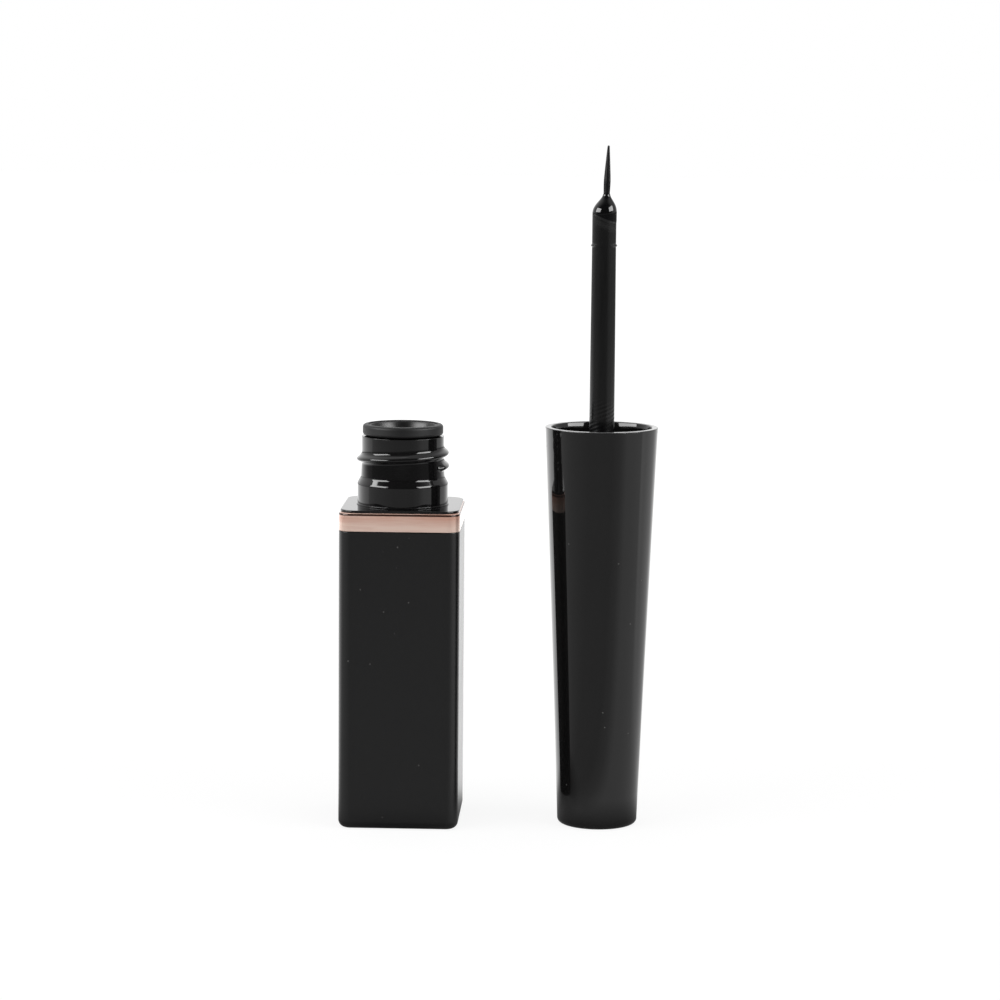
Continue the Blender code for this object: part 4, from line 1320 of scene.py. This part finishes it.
class EYELINER_OT_stage(Operator):
    """Set up the floor, the soft studio light and the camera"""

    bl_idname = "eyeliner.stage"
    bl_label = "Stage"

    def execute(self, context):
        s = settings().stage
        make_camera()
        make_world()
        make_floor()
        softbox("softbox_left", turns_seen=(-89.0, -41.0), rises_seen=(11.5, 38.0), distance=0.9,
                gloss=s.key_gloss, matt=s.key_matt)
        softbox("softbox_right", turns_seen=(46.0, 87.0), rises_seen=(9.5, 38.0), distance=0.9,
                gloss=s.key_gloss, matt=s.key_matt)
        softbox("softbox_top", turns_seen=(-25.0, 25.0), rises_seen=(65.0, 111.0), distance=1.0,
                gloss=0.0, matt=s.top_matt)
        context.scene.view_settings.view_transform = "Standard"
        return {"FINISHED"}


class EYELINER_OT_sleeve(Operator):
    """Make the bottle's square satin sleeve"""

    bl_idname = "eyeliner.sleeve"
    bl_label = "Sleeve"

    def execute(self, context):
        f = settings().finish
        finish = black_plastic("satin_black_sleeve", f.satin, f.satin_rough, uneven=0.05, grain=0.06,
                               wave=0.01, dusty=0.3)
        dress(surface("satin_sleeve", sleeve_grid()), "bottle", "outer_shell", finish)
        return {"FINISHED"}


class EYELINER_OT_band(Operator):
    """Make the rose gold band round the shoulder"""

    bl_idname = "eyeliner.band"
    bl_label = "Band"

    def execute(self, context):
        band = surface("gold_band", band_grid(), loop=True)
        dress(band, "bottle", "shoulder_band", rose_gold())
        return {"FINISHED"}


class EYELINER_OT_neck(Operator):
    """Make the vial with its shoulder, collar and threaded neck"""

    bl_idname = "eyeliner.neck"
    bl_label = "Vial and neck"

    def execute(self, context):
        f = settings().finish
        finish = black_plastic("gloss_black_neck", f.gloss, f.gloss_rough, dusty=0.02)
        dress(surface("vial_and_neck", neck_grid()), "bottle", "inner_bottle", finish)
        return {"FINISHED"}


class EYELINER_OT_wiper(Operator):
    """Make the soft wiper in the neck"""

    bl_idname = "eyeliner.wiper"
    bl_label = "Wiper"

    def execute(self, context):
        wiper = surface("soft_wiper", wiper_grid(), loop=True)
        dress(wiper, "bottle", "wiper", soft_plastic())
        return {"FINISHED"}


class EYELINER_OT_cap(Operator):
    """Make the tapered cap and the liner in its mouth"""

    bl_idname = "eyeliner.cap"
    bl_label = "Cap and liner"

    def execute(self, context):
        f = settings().finish
        finish = black_plastic("gloss_black_cap", f.cap, f.cap_rough, wave=0.05, dusty=0.25,
                               rim=top("outer_cap"))
        dress(surface("tapered_cap", cap_grid()), "applicator", "outer_cap", finish)
        liner = black_plastic("gloss_black_liner", f.gloss, 2 * f.gloss_rough)
        dress(surface("cap_liner", liner_grid()), "applicator", "inner_cap", liner)
        return {"FINISHED"}


class EYELINER_OT_wand(Operator):
    """Make the stem and the brush holder with its ink film"""

    bl_idname = "eyeliner.wand"
    bl_label = "Stem and holder"

    def execute(self, context):
        dress(surface("slim_stem", stem_grid()), "applicator", "wand_stem",
              stem_plastic("stem_black_satin", with_film=False))
        grid, values = holder_parts()
        dress(surface("holder_with_ink", grid, values=values), "applicator", "brush_holder",
              stem_plastic("holder_black_wet", with_film=True))
        return {"FINISHED"}


class EYELINER_OT_tuft(Operator):
    """Make the tuft of inked filaments"""

    bl_idname = "eyeliner.tuft"
    bl_label = "Tuft"

    def execute(self, context):
        tuft = add_object("inked_tuft", tuft_mesh())
        dress(tuft, "applicator", "brush_bristles", inked())
        return {"FINISHED"}


OPERATORS = (
    EYELINER_OT_stage,
    EYELINER_OT_sleeve,
    EYELINER_OT_band,
    EYELINER_OT_neck,
    EYELINER_OT_wiper,
    EYELINER_OT_cap,
    EYELINER_OT_wand,
    EYELINER_OT_tuft,
)


class EyelinerSettings(PropertyGroup):
    """All settings of the eyeliner."""

    bottle: PointerProperty(type=EyelinerBottle)
    wiper: PointerProperty(type=EyelinerWiper)
    cap: PointerProperty(type=EyelinerCap)
    wand: PointerProperty(type=EyelinerWand)
    finish: PointerProperty(type=EyelinerFinish)
    stage: PointerProperty(type=EyelinerStage)


class EYELINER_PT_panel(Panel):
    """The eyeliner's operators and settings in the 3D view's sidebar"""

    bl_idname = "EYELINER_PT_panel"
    bl_label = "Eyeliner"
    bl_space_type = "VIEW_3D"
    bl_region_type = "UI"
    bl_category = "Eyeliner"

    def draw(self, context):
        for operator in OPERATORS:
            self.layout.operator(operator.bl_idname)
        for group in ("bottle", "wiper", "cap", "wand", "finish", "stage"):
            box = self.layout.box()
            box.label(text=group.capitalize())
            values = getattr(context.scene.eyeliner, group)
            for name in type(values).__annotations__:
                box.prop(values, name)


GROUPS = (EyelinerBottle, EyelinerWiper, EyelinerCap, EyelinerWand, EyelinerFinish, EyelinerStage,
          EyelinerSettings)


def register():
    for kind in (*GROUPS, *OPERATORS, EYELINER_PT_panel):
        bpy.utils.register_class(kind)
    bpy.types.Scene.eyeliner = PointerProperty(type=EyelinerSettings)


def unregister():
    del bpy.types.Scene.eyeliner
    for kind in reversed((*GROUPS, *OPERATORS, EYELINER_PT_panel)):
        bpy.utils.unregister_class(kind)


def main():
    register()
    bpy.ops.eyeliner.stage()
    bpy.ops.eyeliner.sleeve()
    bpy.ops.eyeliner.band()
    bpy.ops.eyeliner.neck()
    bpy.ops.eyeliner.wiper()
    bpy.ops.eyeliner.cap()
    bpy.ops.eyeliner.wand()
    bpy.ops.eyeliner.tuft()


if __name__ == "__main__":
    main()
